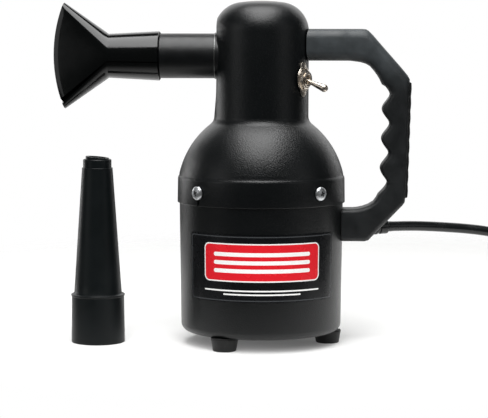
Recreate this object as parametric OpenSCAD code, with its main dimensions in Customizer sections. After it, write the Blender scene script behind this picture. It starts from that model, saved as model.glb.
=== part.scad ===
// Car dryer blower: a motor and fan in a steel canister, with a pistol-grip
// frame handle, a side outlet that takes push-on nozzles, and a spare nozzle.
// Millimetres. The origin is on the floor, on the canister's own axis.
// +Z is up, the outlet points along -X and the handle stands out along +X.

/* [Canister] */
// Outer radius of the canister just under the skirt
can_top_r = 63.2; // [62.9:0.1:64]
// Outer radius of the canister at its bottom
can_bottom_r = 61.8; // [61.6:0.1:63]
// Height of the canister, from its underside to its rim
can_h = 114; // [112:1:122]
// Thickness of the canister's sheet steel
can_wall = 1.4; // [1:0.1:1.8]
// Outer radius of the bottom corner
can_corner_r = 6; // [4:0.5:6]
// Number of rings of intake holes round the middle one
intake_rings = 3; // [1:1:3]
// Radius of one intake hole
intake_hole_r = 3; // [2:0.1:3.5]
// Spacing of the rings of intake holes
intake_pitch = 12; // [10:0.5:12.5]

/* [Upper housing] */
// Outer radius of the skirt that laps over the canister
skirt_r = 64.5; // [64.4:0.1:66]
// How far the skirt reaches down over the canister's rim
skirt_lap = 13.8; // [13:0.2:16]
// Height of the skirt above the canister's rim
skirt_rise = 5; // [4.5:0.5:8]
// How far the shoulder steps in above the skirt
skirt_step = 1.7; // [1.5:0.1:3]
// Thickness of the housing's sheet steel
shell_wall = 1.4; // [1:0.1:1.8]
// Gap between the skirt and the canister's rim inside it
skirt_fit = 0.1; // [0.05:0.01:0.3]
// Radius of the domed shoulder
shoulder_r = 61.5; // [60:0.5:63]
// Outer radius of the neck
neck_r = 36.2; // [35.6:0.1:38]
// Height of the dome's top above the top of the skirt
neck_h = 136.4; // [134:0.2:142]
// Radius of the hollow fillet between shoulder and neck
neck_fillet_r = 8; // [5:0.5:12]
// Radius of the dome's round edge
dome_edge_r = 22.6; // [18:0.2:24]
// Distance of the flat outlet pad from the axis
pad_r = 34.2; // [33.8:0.1:34.6]
// Diameter of a skirt screw's head
skirt_screw_head_d = 10.5; // [8:0.1:11]

/* [Outlet and nozzles] */
// Distance of the outlet's axis below the top of the dome
outlet_drop = 42.4; // [40:0.1:45]
// Outer diameter of the outlet tube
outlet_d = 34.6; // [34:0.1:36]
// Wall of the outlet tube
outlet_wall = 1.5; // [1.2:0.1:2]
// Distance of the outlet's shoulder from the canister's axis
outlet_reach = 78.6; // [74:0.1:84]
// Diameter of the spigot that the nozzles push onto
spigot_d = 32; // [31:0.1:32.4]
// Length of the spigot
spigot_len = 28; // [22:1:32]
// Radial clearance between a nozzle's socket and the spigot
nozzle_fit = 0.05; // [0.02:0.01:0.1]
// Outer radius of the flare nozzle at its collar
flare_collar_r = 19.1; // [18.6:0.1:20]
// Outer radius of the flare nozzle at its throat
flare_throat_r = 17; // [16.6:0.1:17.6]
// Length of the flare nozzle from its collar to its throat
flare_collar_len = 42; // [36:1:48]
// Length of the flare nozzle's fan along its middle
flare_fan_len = 40.4; // [38:0.2:44]
// Half height of the flare nozzle's fan at full length
flare_half_h = 46.6; // [40:0.2:50]
// Half thickness of the flare nozzle at its mouth
flare_half_t = 3.9; // [3.7:0.1:6]
// Wall of the flare nozzle
flare_wall = 1.3; // [1:0.1:1.4]
// Radius of the flare nozzle's curved mouth, seen from the side
flare_mouth_r = 105; // [95:1:130]
// Distance of the spare nozzle's axis from the canister's axis
spare_x = 127.2; // [120:0.2:135]
// Distance that the spare nozzle stands in front of the canister's axis
spare_y = 6.5; // [0:0.5:12]
// Height of the spare nozzle without its tip insert
spare_h = 143; // [135:1:150]
// Outer radius of the spare nozzle's collar at its mouth
spare_collar_r = 20.8; // [20:0.1:22]
// Height of the spare nozzle's collar
spare_collar_h = 37.8; // [35:0.2:42]
// Outer radius of the spare nozzle's cone just above its collar
spare_cone_r = 18.45; // [18:0.05:19.5]
// Outer radius of the spare nozzle's cone at its top
spare_top_r = 11.9; // [11.6:0.1:13]
// Outer radius of the tip insert
tip_r = 9; // [8.6:0.1:9.4]

/* [Handle] */
// Thickness of the handle from side to side
handle_t = 26; // [22:1:32]
// Top of the handle above the floor
handle_top_z = 243.9; // [241:0.1:246]
// Height of the handle's upper arm
upper_arm_h = 24.4; // [23:0.1:26]
// Underside of the handle above the floor
handle_bottom_z = 80.4; // [77:0.1:82]
// Height of the handle's lower arm at the canister
lower_arm_h = 25; // [23:0.2:26]
// Distance of the grip's back from the canister's axis, at its upper end
grip_x = 114.3; // [112:0.1:120]
// Distance between two finger grooves
groove_pitch = 22.8; // [22:0.1:24]
// Depth of a finger groove
groove_depth = 5.95; // [4:0.05:8]
// Width of the ribbed pad on the grip's back
pad_w = 16; // [10:1:18]
// How far the pad stands out of the grip
pad_proud = 1.3; // [1:0.1:2]

/* [Feet] */
// Height of the canister's underside above the floor
foot_h = 10; // [8:0.5:12]
// Distance of the feet from the axis
foot_ring_r = 52; // [51:0.2:53]
// Radius of a foot where it meets the canister
foot_top_r = 10.65; // [9.6:0.05:11.5]
// Radius of a foot on the floor
foot_bottom_r = 9; // [8:0.1:9.5]

/* [Switch] */
// Direction of the switch round the neck, in degrees from the handle
switch_az = -28; // [-36:1:-26]
// Height of the switch above the floor
switch_z = 205.5; // [202:0.5:208]
// Angle that the lever hangs below level when it is off
lever_down = 20; // [14:1:22]
// Length of the lever from its pivot to its tip
lever_len = 23; // [18:0.5:26]

/* [Fan and motor] */
// Thickness of the intake filter
filter_h = 12; // [8:1:13]
// Radius of the fan wheel
fan_r = 50; // [44:1:50]
// Number of blades on the fan wheel
fan_blades = 9; // [5:1:12]
// Depth of the fan blades
fan_blade_h = 9; // [7:0.5:10]
// Height of the stator's stack of laminations
stack_h = 34; // [30:1:34]
// Half width of the stator
stator_x = 44; // [43:0.5:45]
// Half depth of the stator
stator_y = 36; // [35.5:0.5:38]
// Radius of the stator's bore
stator_bore_r = 21; // [20.5:0.1:21.5]
// Gap between the armature and the stator
air_gap = 0.5; // [0.4:0.05:0.8]
// Radius of the motor shaft
shaft_r = 4; // [3.5:0.1:4]

/* [Cord] */
// Diameter of the cord
cord_d = 8; // [7:0.1:8]
// Height of the cord's gland above the floor
gland_z = 86.4; // [82:0.2:90]
// Direction of the gland round the canister, in degrees from the handle
gland_az = 25; // [24:0.5:32]
// Length of the cord's strain relief
boot_len = 50; // [40:1:50.2]
// Radius of the strain relief at the canister
boot_base_r = 7.6; // [6.8:0.1:8.4]
// Radius of the strain relief at its end
boot_tip_r = 6; // [5.4:0.1:6.4]

/* [Hidden] */

$fn = 96;
eps = 0.01;
// Gap left between pieces of one body that lie against each other
seat = 0.1;
// Radial gap of a screw in its hole
screw_gap = 0.1;

BLACK = "#1d1e1f";
SATIN = "#242526";
STEEL = "#b9b6ae";
RUBBER = "#17181a";
COPPER = "#b0683a";

// Housing, from the canister up
floor_z = foot_h + can_wall;
rim_z = foot_h + can_h;
skirt_z = rim_z - skirt_lap;
crease_z = rim_z + skirt_rise;
shoulder_z = crease_z + 1.5;
dome_z = crease_z + neck_h;
outlet_z = dome_z - outlet_drop;
rim_r = skirt_r - shell_wall - skirt_fit;
start_r = skirt_r - skirt_step;
shoulder_drop = 9;
shoulder_c = [
    start_r - sqrt(pow(shoulder_r, 2) - pow(shoulder_drop, 2)),
    shoulder_z - shoulder_drop
];
fillet_c = [
    neck_r + neck_fillet_r,
    shoulder_c.y + sqrt(
        pow(shoulder_r + neck_fillet_r, 2) - pow(neck_r + neck_fillet_r - shoulder_c.x, 2)
    )
];
fillet_a = atan2(fillet_c.y - shoulder_c.y, fillet_c.x - shoulder_c.x);
neck_in_r = neck_r - shell_wall;
// The dome's top is a shallow crown that runs on into its round edge
crown_a = 8;
crown_r = dome_edge_r + (neck_r - dome_edge_r) / sin(crown_a);
dome_c = [neck_r - dome_edge_r, dome_z - crown_r + (crown_r - dome_edge_r) * cos(crown_a)];
// Lower end of the flat pad, where it runs out into the round neck
pad_low_z = outlet_z - 21.7;
skirt_screw_z = skirt_z + 10;
// The canister draws in just under the skirt over this height
can_neck = 1;
skirt_screw_r = 2;
skirt_azs = [45, 135, 225, 315];
// The locating slot lies under this one of the skirt screws
slot_az = 225;

// Outlet and nozzles, measured along the outlet's axis from the canister's
outlet_r = outlet_d / 2;
spigot_r = spigot_d / 2;
socket_r = spigot_r + nozzle_fit;
spigot_end = outlet_reach + spigot_len;
flare_start = outlet_reach + seat;
throat_at = flare_start + flare_collar_len;
mouth_at = throat_at + flare_fan_len;
flare_bore_r = spigot_r - outlet_wall;
spare_tip_step = 6.5;
tip_seat_z = spare_h - 22;
tip_rise = 2.5;
tip_tilt = 5;

// Handle outline. Each station of the grip has an outer and an inner point.
grip_top_z = handle_top_z - 38.4;
grip_bottom_z = handle_bottom_z + 30.3;
grip_lean = 2.6;
groove_z = grip_top_z - 11.7;
groove_x = grip_x - 15.1;
back_slope = grip_lean / (grip_top_z - grip_bottom_z);
upper_in_z = handle_top_z - upper_arm_h;
lower_in_z = handle_bottom_z + lower_arm_h;
neck_screw_zs = [handle_top_z - 18.5, handle_top_z - 6.5];
can_screw_zs = [handle_bottom_z + 6.3, handle_bottom_z + 18.6];
handle_screw_r = 2;
handle_screw_bite = 16;
plate_w = 12;
plate_t = 2;

// Feet
foot_azs = [-120, 0, 120];
foot_screw_r = 2;
foot_recess_r = 5;
foot_recess_h = 3.4;

// Switch, measured outwards from the neck's surface
bushing_r = 5.95;
plate_out = 0.85;
washer_out = plate_out + 0.8;
nut_out = washer_out + 2.6;
bushing_out = nut_out + 1.2;
pivot_out = 1;
switch_w = 15;
switch_l = 28;
switch_depth = 20;
switch_seat = shell_wall + neck_in_r - sqrt(pow(neck_in_r, 2) - pow(switch_w / 2, 2)) + seat;
lever_bore_r = 3;
lever_ball_r = 2.6;
lever_pin_r = 0.8;
lever_pin_half = 2.8;
lever_root_r = 1.5;
lever_tip_r = 3;

// Fan and motor, from the canister's floor up
filter_top = floor_z + seat + filter_h;
seat_top = filter_top + 2.9;
gasket_top = seat_top + 3.6;
shell_t = 1.2;
fan_eye_r = 21.5;
fan_hub_r = 9;
blade_sweep = 48;
wheel_z = gasket_top + shell_t + 1.5;
blade_z = wheel_z + 1;
back_z = blade_z + fan_blade_h;
wheel_top = back_z + 1.2;
diffuser_z = wheel_top + 1.5;
vane_z = diffuser_z + 1.2;
bracket_z = vane_z + 2.4;
bracket_t = 3;
stator_z = bracket_z + bracket_t + 16;
stator_top = stator_z + stack_h;
upper_z = stator_top + 24;
hub_h = 9;
hub_r = 14.5;
lower_race_z = bracket_z + bracket_t + 1.5;
upper_race_z = upper_z + bracket_t;
race_h = 7;
race_out_r = 11;
race_mid_r = 7.5;
race_gap = 1.1;
ball_r = 1.95;
groove_r = 2.05;
balls = 7;
cushion_z = upper_z + bracket_t + hub_h + seat;
cushion_h = 8;
bridge_t = 1.5;
bridge_arm_w = 14;
bridge_top = cushion_z + cushion_h + seat;
bolt_xy = [stator_x - 6.5, stator_y - 6];
bolt_r = 2;
pillar_r = 5;
coil_x = [22.5, 32.5];
coil_y = [18.5, 26.5];
coil_over = 8.5;
fan_shell_r = fan_r + 4;
armature_r = stator_bore_r - air_gap;
winding_r = armature_r - 2;
commutator_r = 11;
commutator_z = stator_top + 9.5;
commutator_h = 12;
brush_z = commutator_z + commutator_h / 2;
brush_gap = 0.3;
brush_w = 6;
brush_h = 7;
brush_len = 15;
holder_in = commutator_r + 2;
holder_len = 23;

// Cord. The route's points are chosen by hand, in the order that the cord runs.
cord_r = cord_d / 2;
CORD_ROUTE = [
    [102.4, 47.8, 86.4], [117, 54.6, 86.1], [132, 60.6, 85.3], [148, 65.2, 84.1],
    [163, 68.2, 82.8], [178, 70, 81], [192, 70.4, 78.4], [205.5, 69.8, 74.4],
    [218, 68.2, 68.6], [229, 65.8, 61], [239, 62.8, 52], [248.5, 59.4, 42.2],
    [258, 55.8, 32.4], [268, 52.2, 23.2], [279, 49, 15.2], [291.5, 46.4, 9],
    [304, 44.8, 5.6], [314, 44.5, 5], [320, 44.5, 5]
];
coil_xy = [328, -13.25];
coil_mid_r = 45;
coil_gap = 0.5;
coil_lift = 1;
coil_layers = 4;
layer_turns = 3;
loop_rings = 24;
wrap = cord_d + coil_gap;
coil_in_r = coil_mid_r - wrap * layer_turns / 2;
coil_out_r = coil_mid_r + wrap * layer_turns / 2;
coil_turns = coil_layers * layer_turns - 0.5;
coil_z = cord_r + coil_lift;
coil_top = coil_z + (coil_layers - 1) * wrap + cord_r;
tail_r = 33;
tie_az = 165;
tie_w = 14;
tie_t = 0.8;
plug_w = 27;
plug_t = 22;
plug_len = 36;
plug_neck = 20;
plug_z = coil_top + seat + plug_t / 2;

// Outer radius of the canister at a height
function can_r(z) = let (low = foot_h + can_corner_r)
    can_bottom_r + (can_top_r - can_bottom_r) * (z - low) / (skirt_z - can_neck - low);

// Points of an arc about c, in n steps
function arc(c, r, a0, a1, n) = [
    for (i = [0:n]) let (a = a0 + (a1 - a0) * i / n) c + r * [cos(a), sin(a)]
];

// Section of the housing's wall surface, moved inwards by t
function housing_profile(t) = [
    [skirt_r - t, skirt_z - (t > 0 ? eps : 0)],
    [skirt_r - t, crease_z - t / 2],
    [start_r - t, shoulder_z - t / 2],
    each arc(shoulder_c, shoulder_r - t, 12, fillet_a, 16),
    each arc(fillet_c, neck_fillet_r + t, fillet_a + 180, 180, 6),
    each arc(dome_c, dome_edge_r - t, 0, 90 - crown_a, 12),
    each arc([0, dome_z - crown_r], crown_r - t, 90 - 0.75 * crown_a, 90, 3),
    [0, skirt_z - (t > 0 ? eps : 0)]
];

// Section of the canister's wall surface, moved inwards by t
function can_profile(t) = [
    [0, foot_h + t],
    each arc([can_bottom_r - can_corner_r, foot_h + can_corner_r], can_corner_r - t, -90, 0, 8),
    [can_top_r - t, skirt_z - can_neck],
    [rim_r - t, skirt_z - 0.6 * can_neck],
    [rim_r - t, rim_z + (t > 0 ? eps : 0)],
    [0, rim_z + (t > 0 ? eps : 0)]
];

function unit(v) = v / norm(v);
function tangents(p) = [
    for (i = [0:len(p) - 1]) unit(p[min(i + 1, len(p) - 1)] - p[max(i - 1, 0)])
];
function carry(n, t) = unit(n - (n * t) * t);
// Normals that turn with a route and do not twist about it
function normals(t, i = 0, n = [0, 0, 1]) = i == len(t) ? [] : let (m = carry(n, t[i])) [
    m, each normals(t, i + 1, m)
];

// Radius and height of the coil, u turns from its start
function coil_r(u) = coil_in_r + wrap * abs(layer_turns - u % (2 * layer_turns));
function smooth(x) = let (c = min(max(x, 0), 1)) c * c * (3 - 2 * c);
function climbs(u) = smooth((u - coil_turns + 0.24) / 0.24)
    + [for (k = [1:coil_layers - 1]) smooth((u - k * layer_turns + 0.25) / 0.5)]
    * [for (k = [1:coil_layers - 1]) 1];
function coil_point(u) = let (a = 90 - 360 * u, r = coil_r(u)) [
    coil_xy.x + r * cos(a), coil_xy.y + r * sin(a), coil_z + wrap * climbs(u)
];
coil_end = coil_point(coil_turns);
tail_c = [coil_end.x, coil_end.y + tail_r];
plug_start = [tail_c.x + cord_d, tail_c.y + tail_r, plug_z];
coil_points = [
    coil_point(0) - [cord_d, 0, 0],
    for (i = [0:coil_turns * loop_rings]) coil_point(i / loop_rings),
    for (i = [1:9]) [
        each tail_c + tail_r * [cos(90 + 20 * i), -sin(90 + 20 * i)],
        coil_end.z + (plug_z - coil_end.z) * smooth(i / 9)
    ],
    plug_start
];
function run(p) = len(p) < 2 ? 0 : [for (i = [1:len(p) - 1]) norm(p[i] - p[i - 1])]
    * [for (i = [1:len(p) - 1]) 1];
// Least distance between points of the coil that lie over half a turn apart, less the cord
coil_self_gap = min([
    for (i = [0:2:len(coil_points) - 1], j = [i + 12:len(coil_points) - 1])
        norm(coil_points[i] - coil_points[j])
]) - cord_d;
union() {  // cord_coil
    echo(coil_least_gap = coil_self_gap);
    echo(cord_length = run(CORD_ROUTE) + run(coil_points));
}

// Station of the grip's fingers: outer and inner point at height z
function grip_back(z) = grip_x - (grip_top_z - z) * back_slope;
function grip_front(z) = let (k = (groove_z - z) / groove_pitch, lean = 0.2 * k * k)
    groove_x - lean - groove_depth * pow(abs(sin(180 * k)), 1.7);
grip_stations = [
    for (i = [-3:37])
        let (z = groove_z - i * groove_pitch / 11.5, zo = z + 0.6 * max(z - grip_top_z + 15, 0))
            [grip_back(zo), zo, grip_front(z), z]
];
handle_stations = [
    [30, handle_top_z, 30, upper_in_z],
    [58, handle_top_z, 58, upper_in_z],
    [68, handle_top_z, 66, upper_in_z],
    [77, handle_top_z, 71.6, upper_in_z - 0.4],
    [80.4, handle_top_z - 0.2, 76.3, upper_in_z - 1.1],
    [82.4, handle_top_z - 1.4, 80.4, upper_in_z - 2.3],
    [85.9, handle_top_z - 4.8, 83.6, upper_in_z - 4.2],
    [90.4, handle_top_z - 10, 86.4, upper_in_z - 7.3],
    [96.2, handle_top_z - 16.6, 89.2, upper_in_z - 11],
    [102.6, handle_top_z - 23.8, 91, upper_in_z - 13.9],
    [108.4, handle_top_z - 30.4, grip_x - 22.1, upper_in_z - 16.5],
    [grip_x - 1.6, handle_top_z - 35.6, grip_x - 21.3, upper_in_z - 18.1],
    each grip_stations,
    [grip_x - 2.6, grip_bottom_z, grip_x - 23.8, lower_in_z + 11],
    [grip_x - 4.9, grip_bottom_z - 2.3, grip_x - 25, lower_in_z + 8.4],
    [grip_x - 10.6, grip_bottom_z - 8.2, 87, lower_in_z + 5.3],
    [grip_x - 16.6, grip_bottom_z - 14.5, 83, lower_in_z + 2.8],
    [91.5, handle_bottom_z + 9.4, 78.6, lower_in_z + 1.2],
    [85.8, handle_bottom_z + 3.5, 74.4, lower_in_z + 0.3],
    [83.2, handle_bottom_z + 0.8, 71, lower_in_z],
    [80.4, handle_bottom_z, 67, lower_in_z],
    [52, handle_bottom_z, 52, lower_in_z]
];

// Skin between rings of points that all have the same number of points
module skin(rings) {
    n = len(rings[0]);
    polyhedron(
        points = [for (ring = rings) each ring],
        faces = [
            [for (k = [0:n - 1]) k],
            [for (k = [n - 1:-1:0]) (len(rings) - 1) * n + k],
            for (i = [0:len(rings) - 2], k = [0:n - 1]) let (a = i * n + k, b = i * n + (k + 1) % n)
                each [[a, b + n, b], [a, a + n, b + n]]
        ]
    );
}

// Round tube of radius r along the points of a route
module tube(path, r, sides) {
    t = tangents(path);
    m = normals(t);
    skin([
        for (i = [0:len(path) - 1]) [
            for (k = [0:sides - 1]) let (a = 360 * k / sides)
                path[i] + r * (cos(a) * m[i] + sin(a) * cross(t[i], m[i]))
        ]
    ]);
}

// Ring from z0 to z1
module ring(r_out, r_in, z0, z1) {
    translate([0, 0, z0])
        difference() {
            cylinder(r = r_out, h = z1 - z0);
            translate([0, 0, -1])
                cylinder(r = r_in, h = z1 - z0 + 2);
        }
}

// Block centred in x and y, from z0 to z1
module block(x, y, z0, z1) {
    translate([-x / 2, -y / 2, z0])
        cube([x, y, z1 - z0]);
}

// Hexagon with this width across its flats
module hexagon(af, h) {
    cylinder(r = af / 2 / cos(30), h = h, $fn = 6);
}

// Puts its children on a wall of radius r, their +Z pointing outwards
module on_wall(r, az, z) {
    rotate([0, 0, az])
        translate([r, 0, z])
            rotate([0, 90, 0])
                children();
}

// Puts its children on the outlet's axis, their +Z pointing along -X
module on_outlet() {
    translate([0, 0, outlet_z])
        rotate([0, -90, 0])
            children();
}

module at_switch() {
    on_wall(neck_r, switch_az, switch_z)
        children();
}

module at_gland() {
    on_wall(can_r(gland_z), gland_az, gland_z)
        children();
}

// The side of the outlet's pad that the housing keeps, moved inwards by t
beyond = 1.25 * skirt_r;
module pad_side(t) {
    translate([0, beyond, 0])
        rotate([90, 0, 0])
            linear_extrude(2 * beyond)
                polygon([
                    [-pad_r + t, dome_z + 10], [-pad_r + t, pad_low_z], [-neck_r - 0.4 + t, pad_low_z - 21],
                    [-beyond, pad_low_z - 22], [-beyond, 0], [beyond, 0], [beyond, dome_z + 10]
                ]);
}

module housing_solid(t) {
    intersection() {
        rotate_extrude()
            polygon(housing_profile(t));
        pad_side(t);
    }
}

module can_solid(t) {
    rotate_extrude()
        polygon(can_profile(t));
}

module upper_housing() {
    color(BLACK)
        difference() {
            housing_solid(0);
            housing_solid(shell_wall);
            on_outlet()
                translate([0, 0, pad_r - 12])
                    cylinder(r = outlet_r + seat, h = 20);
            at_switch()
                translate([0, 0, -6])
                    cylinder(r = bushing_r + seat, h = 12);
            for (az = skirt_azs)
                on_wall(skirt_r - 5, az, skirt_screw_z)
                    cylinder(r = skirt_screw_r + screw_gap, h = 10);
            rotate([0, 0, slot_az])
                translate([skirt_r - 5, -1, skirt_z - 1])
                    cube([10, 2, skirt_screw_z - skirt_z + 1]);
            for (z = neck_screw_zs)
                on_wall(neck_r - 6, 0, z)
                    cylinder(r = handle_screw_r + screw_gap, h = 12);
        }
}

module lower_can() {
    color(BLACK)
        difference() {
            can_solid(0);
            can_solid(can_wall);
            for (ring = [0:intake_rings], k = [0:max(6 * ring, 1) - 1])
                rotate([0, 0, 360 * k / max(6 * ring, 1)])
                    translate([ring * intake_pitch, 0, foot_h - 1])
                        cylinder(r = intake_hole_r, h = can_wall + 2);
            for (az = foot_azs)
                rotate([0, 0, az])
                    translate([foot_ring_r, 0, foot_h - 1])
                        cylinder(r = foot_screw_r + screw_gap, h = can_wall + 2);
            for (az = skirt_azs)
                on_wall(rim_r - 5, az, skirt_screw_z)
                    cylinder(r = skirt_screw_r + screw_gap, h = 10);
            for (z = can_screw_zs)
                on_wall(can_r(z) - 6, 0, z)
                    cylinder(r = handle_screw_r + screw_gap, h = 12);
            at_gland()
                translate([0, 0, -6])
                    cylinder(r = boot_base_r - 0.5, h = 12);
        }
}

// Thin printed plate, wrapped round the front of the canister
label_z = [foot_h + 29.3, foot_h + 80];
label_az = [-144.3, -30];
label_t = 0.6;
module front_label() {
    color("#2a2b2d")
        rotate([0, 0, label_az[0]])
            rotate_extrude(angle = label_az[1] - label_az[0])
                polygon([
                    [can_r(label_z[0]) + seat / 2, label_z[0]],
                    [can_r(label_z[0]) + label_t, label_z[0]],
                    [can_r(label_z[1]) + label_t, label_z[1]],
                    [can_r(label_z[1]) + seat / 2, label_z[1]]
                ]);
}

// Tube with a collar inside the neck and a stepped-down spigot at its end
collar_at = sqrt(pow(neck_in_r, 2) - pow(outlet_r + 2.5, 2)) - seat;
module outlet_tube() {
    color(SATIN)
        on_outlet()
            rotate_extrude()
                polygon([
                    [outlet_r - outlet_wall, collar_at - 1.5],
                    [outlet_r + 2.5, collar_at - 1.5],
                    [outlet_r + 2.5, collar_at],
                    [outlet_r, collar_at],
                    [outlet_r, outlet_reach - 0.6],
                    [outlet_r - 0.6, outlet_reach],
                    [spigot_r, outlet_reach],
                    [spigot_r, spigot_end],
                    [flare_bore_r, spigot_end],
                    [flare_bore_r, outlet_reach - 3],
                    [outlet_r - outlet_wall, outlet_reach - 3 - outlet_wall]
                ]);
}

// Ring that finishes the joint of the tube and the neck
module outlet_ring() {
    color(STEEL)
        difference() {
            on_outlet()
                ring(outlet_r + 1, outlet_r + 0.05, neck_r - 12, pad_r + 1.3);
            rotate_extrude()
                polygon(concat([[0, 0]], housing_profile(-0.05)));
        }
}

// Rounded section of the handle between an inner and an outer point
function handle_ring(s) = [
    for (k = [0:19]) let (
        a = 18 * k,
        u = 0.5 + 0.5 * sign(cos(a)) * pow(abs(cos(a)), 0.4),
        v = -handle_t / 2 * sign(sin(a)) * pow(abs(sin(a)), 0.4)
    ) [s[2] + (s[0] - s[2]) * u, v, s[3] + (s[1] - s[3]) * u]
];

module back_pad_solid(t, z0, z1) {
    rotate([90, 0, 0])
        translate([0, 0, -pad_w / 2 - t])
            linear_extrude(pad_w + 2 * t)
                polygon([
                    [grip_back(z0) - 1 - t, z0], [grip_back(z0) + pad_proud + pad_taper, z0],
                    [grip_back(z1) + pad_proud, z1], [grip_back(z1) - 1 - t, z1]
                ]);
}

pad_top_z = grip_top_z - 2;
pad_bottom_z = grip_bottom_z + 3;
pad_taper = 0.6;
module handle() {
    color(SATIN)
        difference() {
            skin([for (s = handle_stations) handle_ring(s)]);
            translate([0, 0, handle_top_z - 40])
                cylinder(r = neck_r + seat, h = 60);
            translate([0, 0, handle_bottom_z - 10])
                cylinder(
                    r1 = can_r(handle_bottom_z - 10) + seat,
                    r2 = can_r(handle_bottom_z + 30) + seat,
                    h = 40
                );
            back_pad_solid(seat / 2, pad_bottom_z - seat, pad_top_z + seat);
            for (z = neck_screw_zs)
                on_wall(neck_r - 4, 0, z)
                    cylinder(r = handle_screw_r + 0.05, h = handle_screw_bite + 5);
            for (z = can_screw_zs)
                on_wall(can_r(z) - 4, 0, z)
                    cylinder(r = handle_screw_r + 0.05, h = handle_screw_bite + 5);
        }
}

module handle_back_pad() {
    pitch = (pad_top_z - pad_bottom_z) / 7;
    color(RUBBER)
        difference() {
            back_pad_solid(0, pad_bottom_z, pad_top_z);
            for (k = [1:6])
                let (z = pad_bottom_z + k * pitch)
                    translate([grip_back(z) + pad_proud - 0.8, -pad_w, z - 0.7])
                        cube([4, 2 * pad_w, 1.4]);
        }
}

// Washer-like strips inside the walls that the handle's screws pull on
neck_plate_r = sqrt(pow(neck_in_r, 2) - pow(plate_w / 2, 2)) - seat;
function can_plate_r(z) = sqrt(pow(can_r(z) - can_wall, 2) - pow(plate_w / 2, 2)) - seat;
can_plate_z = (can_screw_zs[0] + can_screw_zs[1]) / 2;
neck_plate_z = (neck_screw_zs[0] + neck_screw_zs[1]) / 2;
can_seat_r = can_plate_r(can_screw_zs[0] - 6);
module handle_backing_plates() {
    color(STEEL)
        difference() {
            union() {
                on_wall(neck_plate_r - plate_t, 0, neck_plate_z)
                    block(22, plate_w, 0, plate_t);
                on_wall(can_seat_r - plate_t, 0, can_plate_z)
                    block(24, plate_w, 0, plate_t);
            }
            for (z = concat(neck_screw_zs, can_screw_zs))
                on_wall(0, 0, z)
                    cylinder(r = handle_screw_r + screw_gap, h = 80);
        }
}

// Pan-head screw with its head's seat at 0 and its shank pointing along +Z
module pan_screw(head_r, head_h, shank_r, shank_len) {
    difference() {
        rotate_extrude()
            polygon([
                [0, -head_h],
                each arc([head_r - head_h * 0.8, -head_h * 0.2], head_h * 0.8, -90, 0, 6),
                [head_r, 0], [shank_r, 0], [shank_r, shank_len - 0.8], [shank_r - 0.8, shank_len],
                [0, shank_len]
            ]);
        for (a = [0, 90])
            rotate([0, 0, a])
                translate([-head_r * 0.52, -0.55, -head_h - 1])
                    cube([head_r * 1.04, 1.1, head_h * 0.55 + 1]);
    }
}

module handle_screws() {
    color(STEEL) {
        for (z = neck_screw_zs)
            on_wall(neck_plate_r - plate_t - seat, 0, z)
                pan_screw(3.8, 2.6, handle_screw_r, neck_r - neck_plate_r + plate_t + handle_screw_bite);
        for (z = can_screw_zs)
            on_wall(can_seat_r - plate_t - seat, 0, z)
                pan_screw(3.8, 2.6, handle_screw_r, can_r(z) - can_seat_r + plate_t + handle_screw_bite);
    }
}

nut_in_r = rim_r - can_wall - 0.4;
module skirt_screws() {
    color(STEEL)
        for (az = skirt_azs)
            on_wall(skirt_r + seat, az, skirt_screw_z)
                mirror([0, 0, 1])
                    pan_screw(skirt_screw_head_d / 2, 3.2, skirt_screw_r, skirt_r - nut_in_r + 5);
}

module skirt_nuts() {
    color(STEEL)
        for (az = skirt_azs)
            on_wall(nut_in_r - 3, az, skirt_screw_z)
                difference() {
                    block(7, 9, 0, 3);
                    translate([0, 0, -1])
                        cylinder(r = skirt_screw_r + 0.05, h = 5);
                }
}

// Rubber foot whose top follows the canister's corner
module foot(az) {
    color(RUBBER)
        difference() {
            rotate([0, 0, az])
                translate([foot_ring_r, 0, 0])
                    cylinder(r1 = foot_bottom_r, r2 = foot_top_r, h = foot_h + 2.5);
            rotate_extrude()
                polygon(can_profile(-seat));
            rotate([0, 0, az])
                translate([foot_ring_r, 0, -1]) {
                    cylinder(r = foot_recess_r, h = foot_recess_h + 1);
                    cylinder(r = foot_screw_r + screw_gap, h = foot_h + 5);
                }
        }
}

module foot_front() { foot(foot_azs[0]); }
module foot_right() { foot(foot_azs[1]); }
module foot_rear() { foot(foot_azs[2]); }

module foot_screws() {
    color(STEEL)
        for (az = foot_azs)
            rotate([0, 0, az])
                translate([foot_ring_r, 0, foot_recess_h - seat])
                    pan_screw(4.2, 2.4, foot_screw_r, floor_z - foot_recess_h + 4.5);
}

module foot_nuts() {
    color(STEEL)
        for (az = foot_azs)
            rotate([0, 0, az])
                translate([foot_ring_r, 0, floor_z + 0.3])
                    difference() {
                        rotate([0, 0, 30])
                            hexagon(7, 3);
                        translate([0, 0, -1])
                            cylinder(r = foot_screw_r + 0.05, h = 5);
                    }
}

module switch_body() {
    color("#2b2b2b")
        at_switch()
            difference() {
                block(switch_l, switch_w, -switch_seat - switch_depth, -switch_seat);
                translate([0, 0, -switch_seat - 8])
                    cylinder(r = lever_bore_r, h = 10);
            }
}

module switch_bushing() {
    color(STEEL)
        at_switch()
            difference() {
                translate([0, 0, -switch_seat + eps])
                    cylinder(r = bushing_r, h = bushing_out + switch_seat);
                translate([0, 0, -switch_seat - 1])
                    cylinder(r = lever_bore_r, h = switch_seat + pivot_out + 1 + eps);
                translate([0, 0, pivot_out])
                    cylinder(r1 = lever_bore_r, r2 = bushing_r - 0.9, h = bushing_out - pivot_out + 0.05);
            }
}

// Thin on-off plate: a disc with a tab above and below it
module switch_plate() {
    color(STEEL)
        at_switch()
            difference() {
                union() {
                    translate([0, 0, 0.05])
                        cylinder(r = 8.4, h = plate_out - 0.05);
                    block(27, 8, 0.05, plate_out);
                }
                translate([0, 0, -1])
                    cylinder(r = bushing_r + 0.1, h = 5);
            }
}

module switch_washer() {
    color(STEEL)
        at_switch()
            ring(9.3, bushing_r + 0.1, plate_out + 0.02, washer_out);
}

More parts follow.
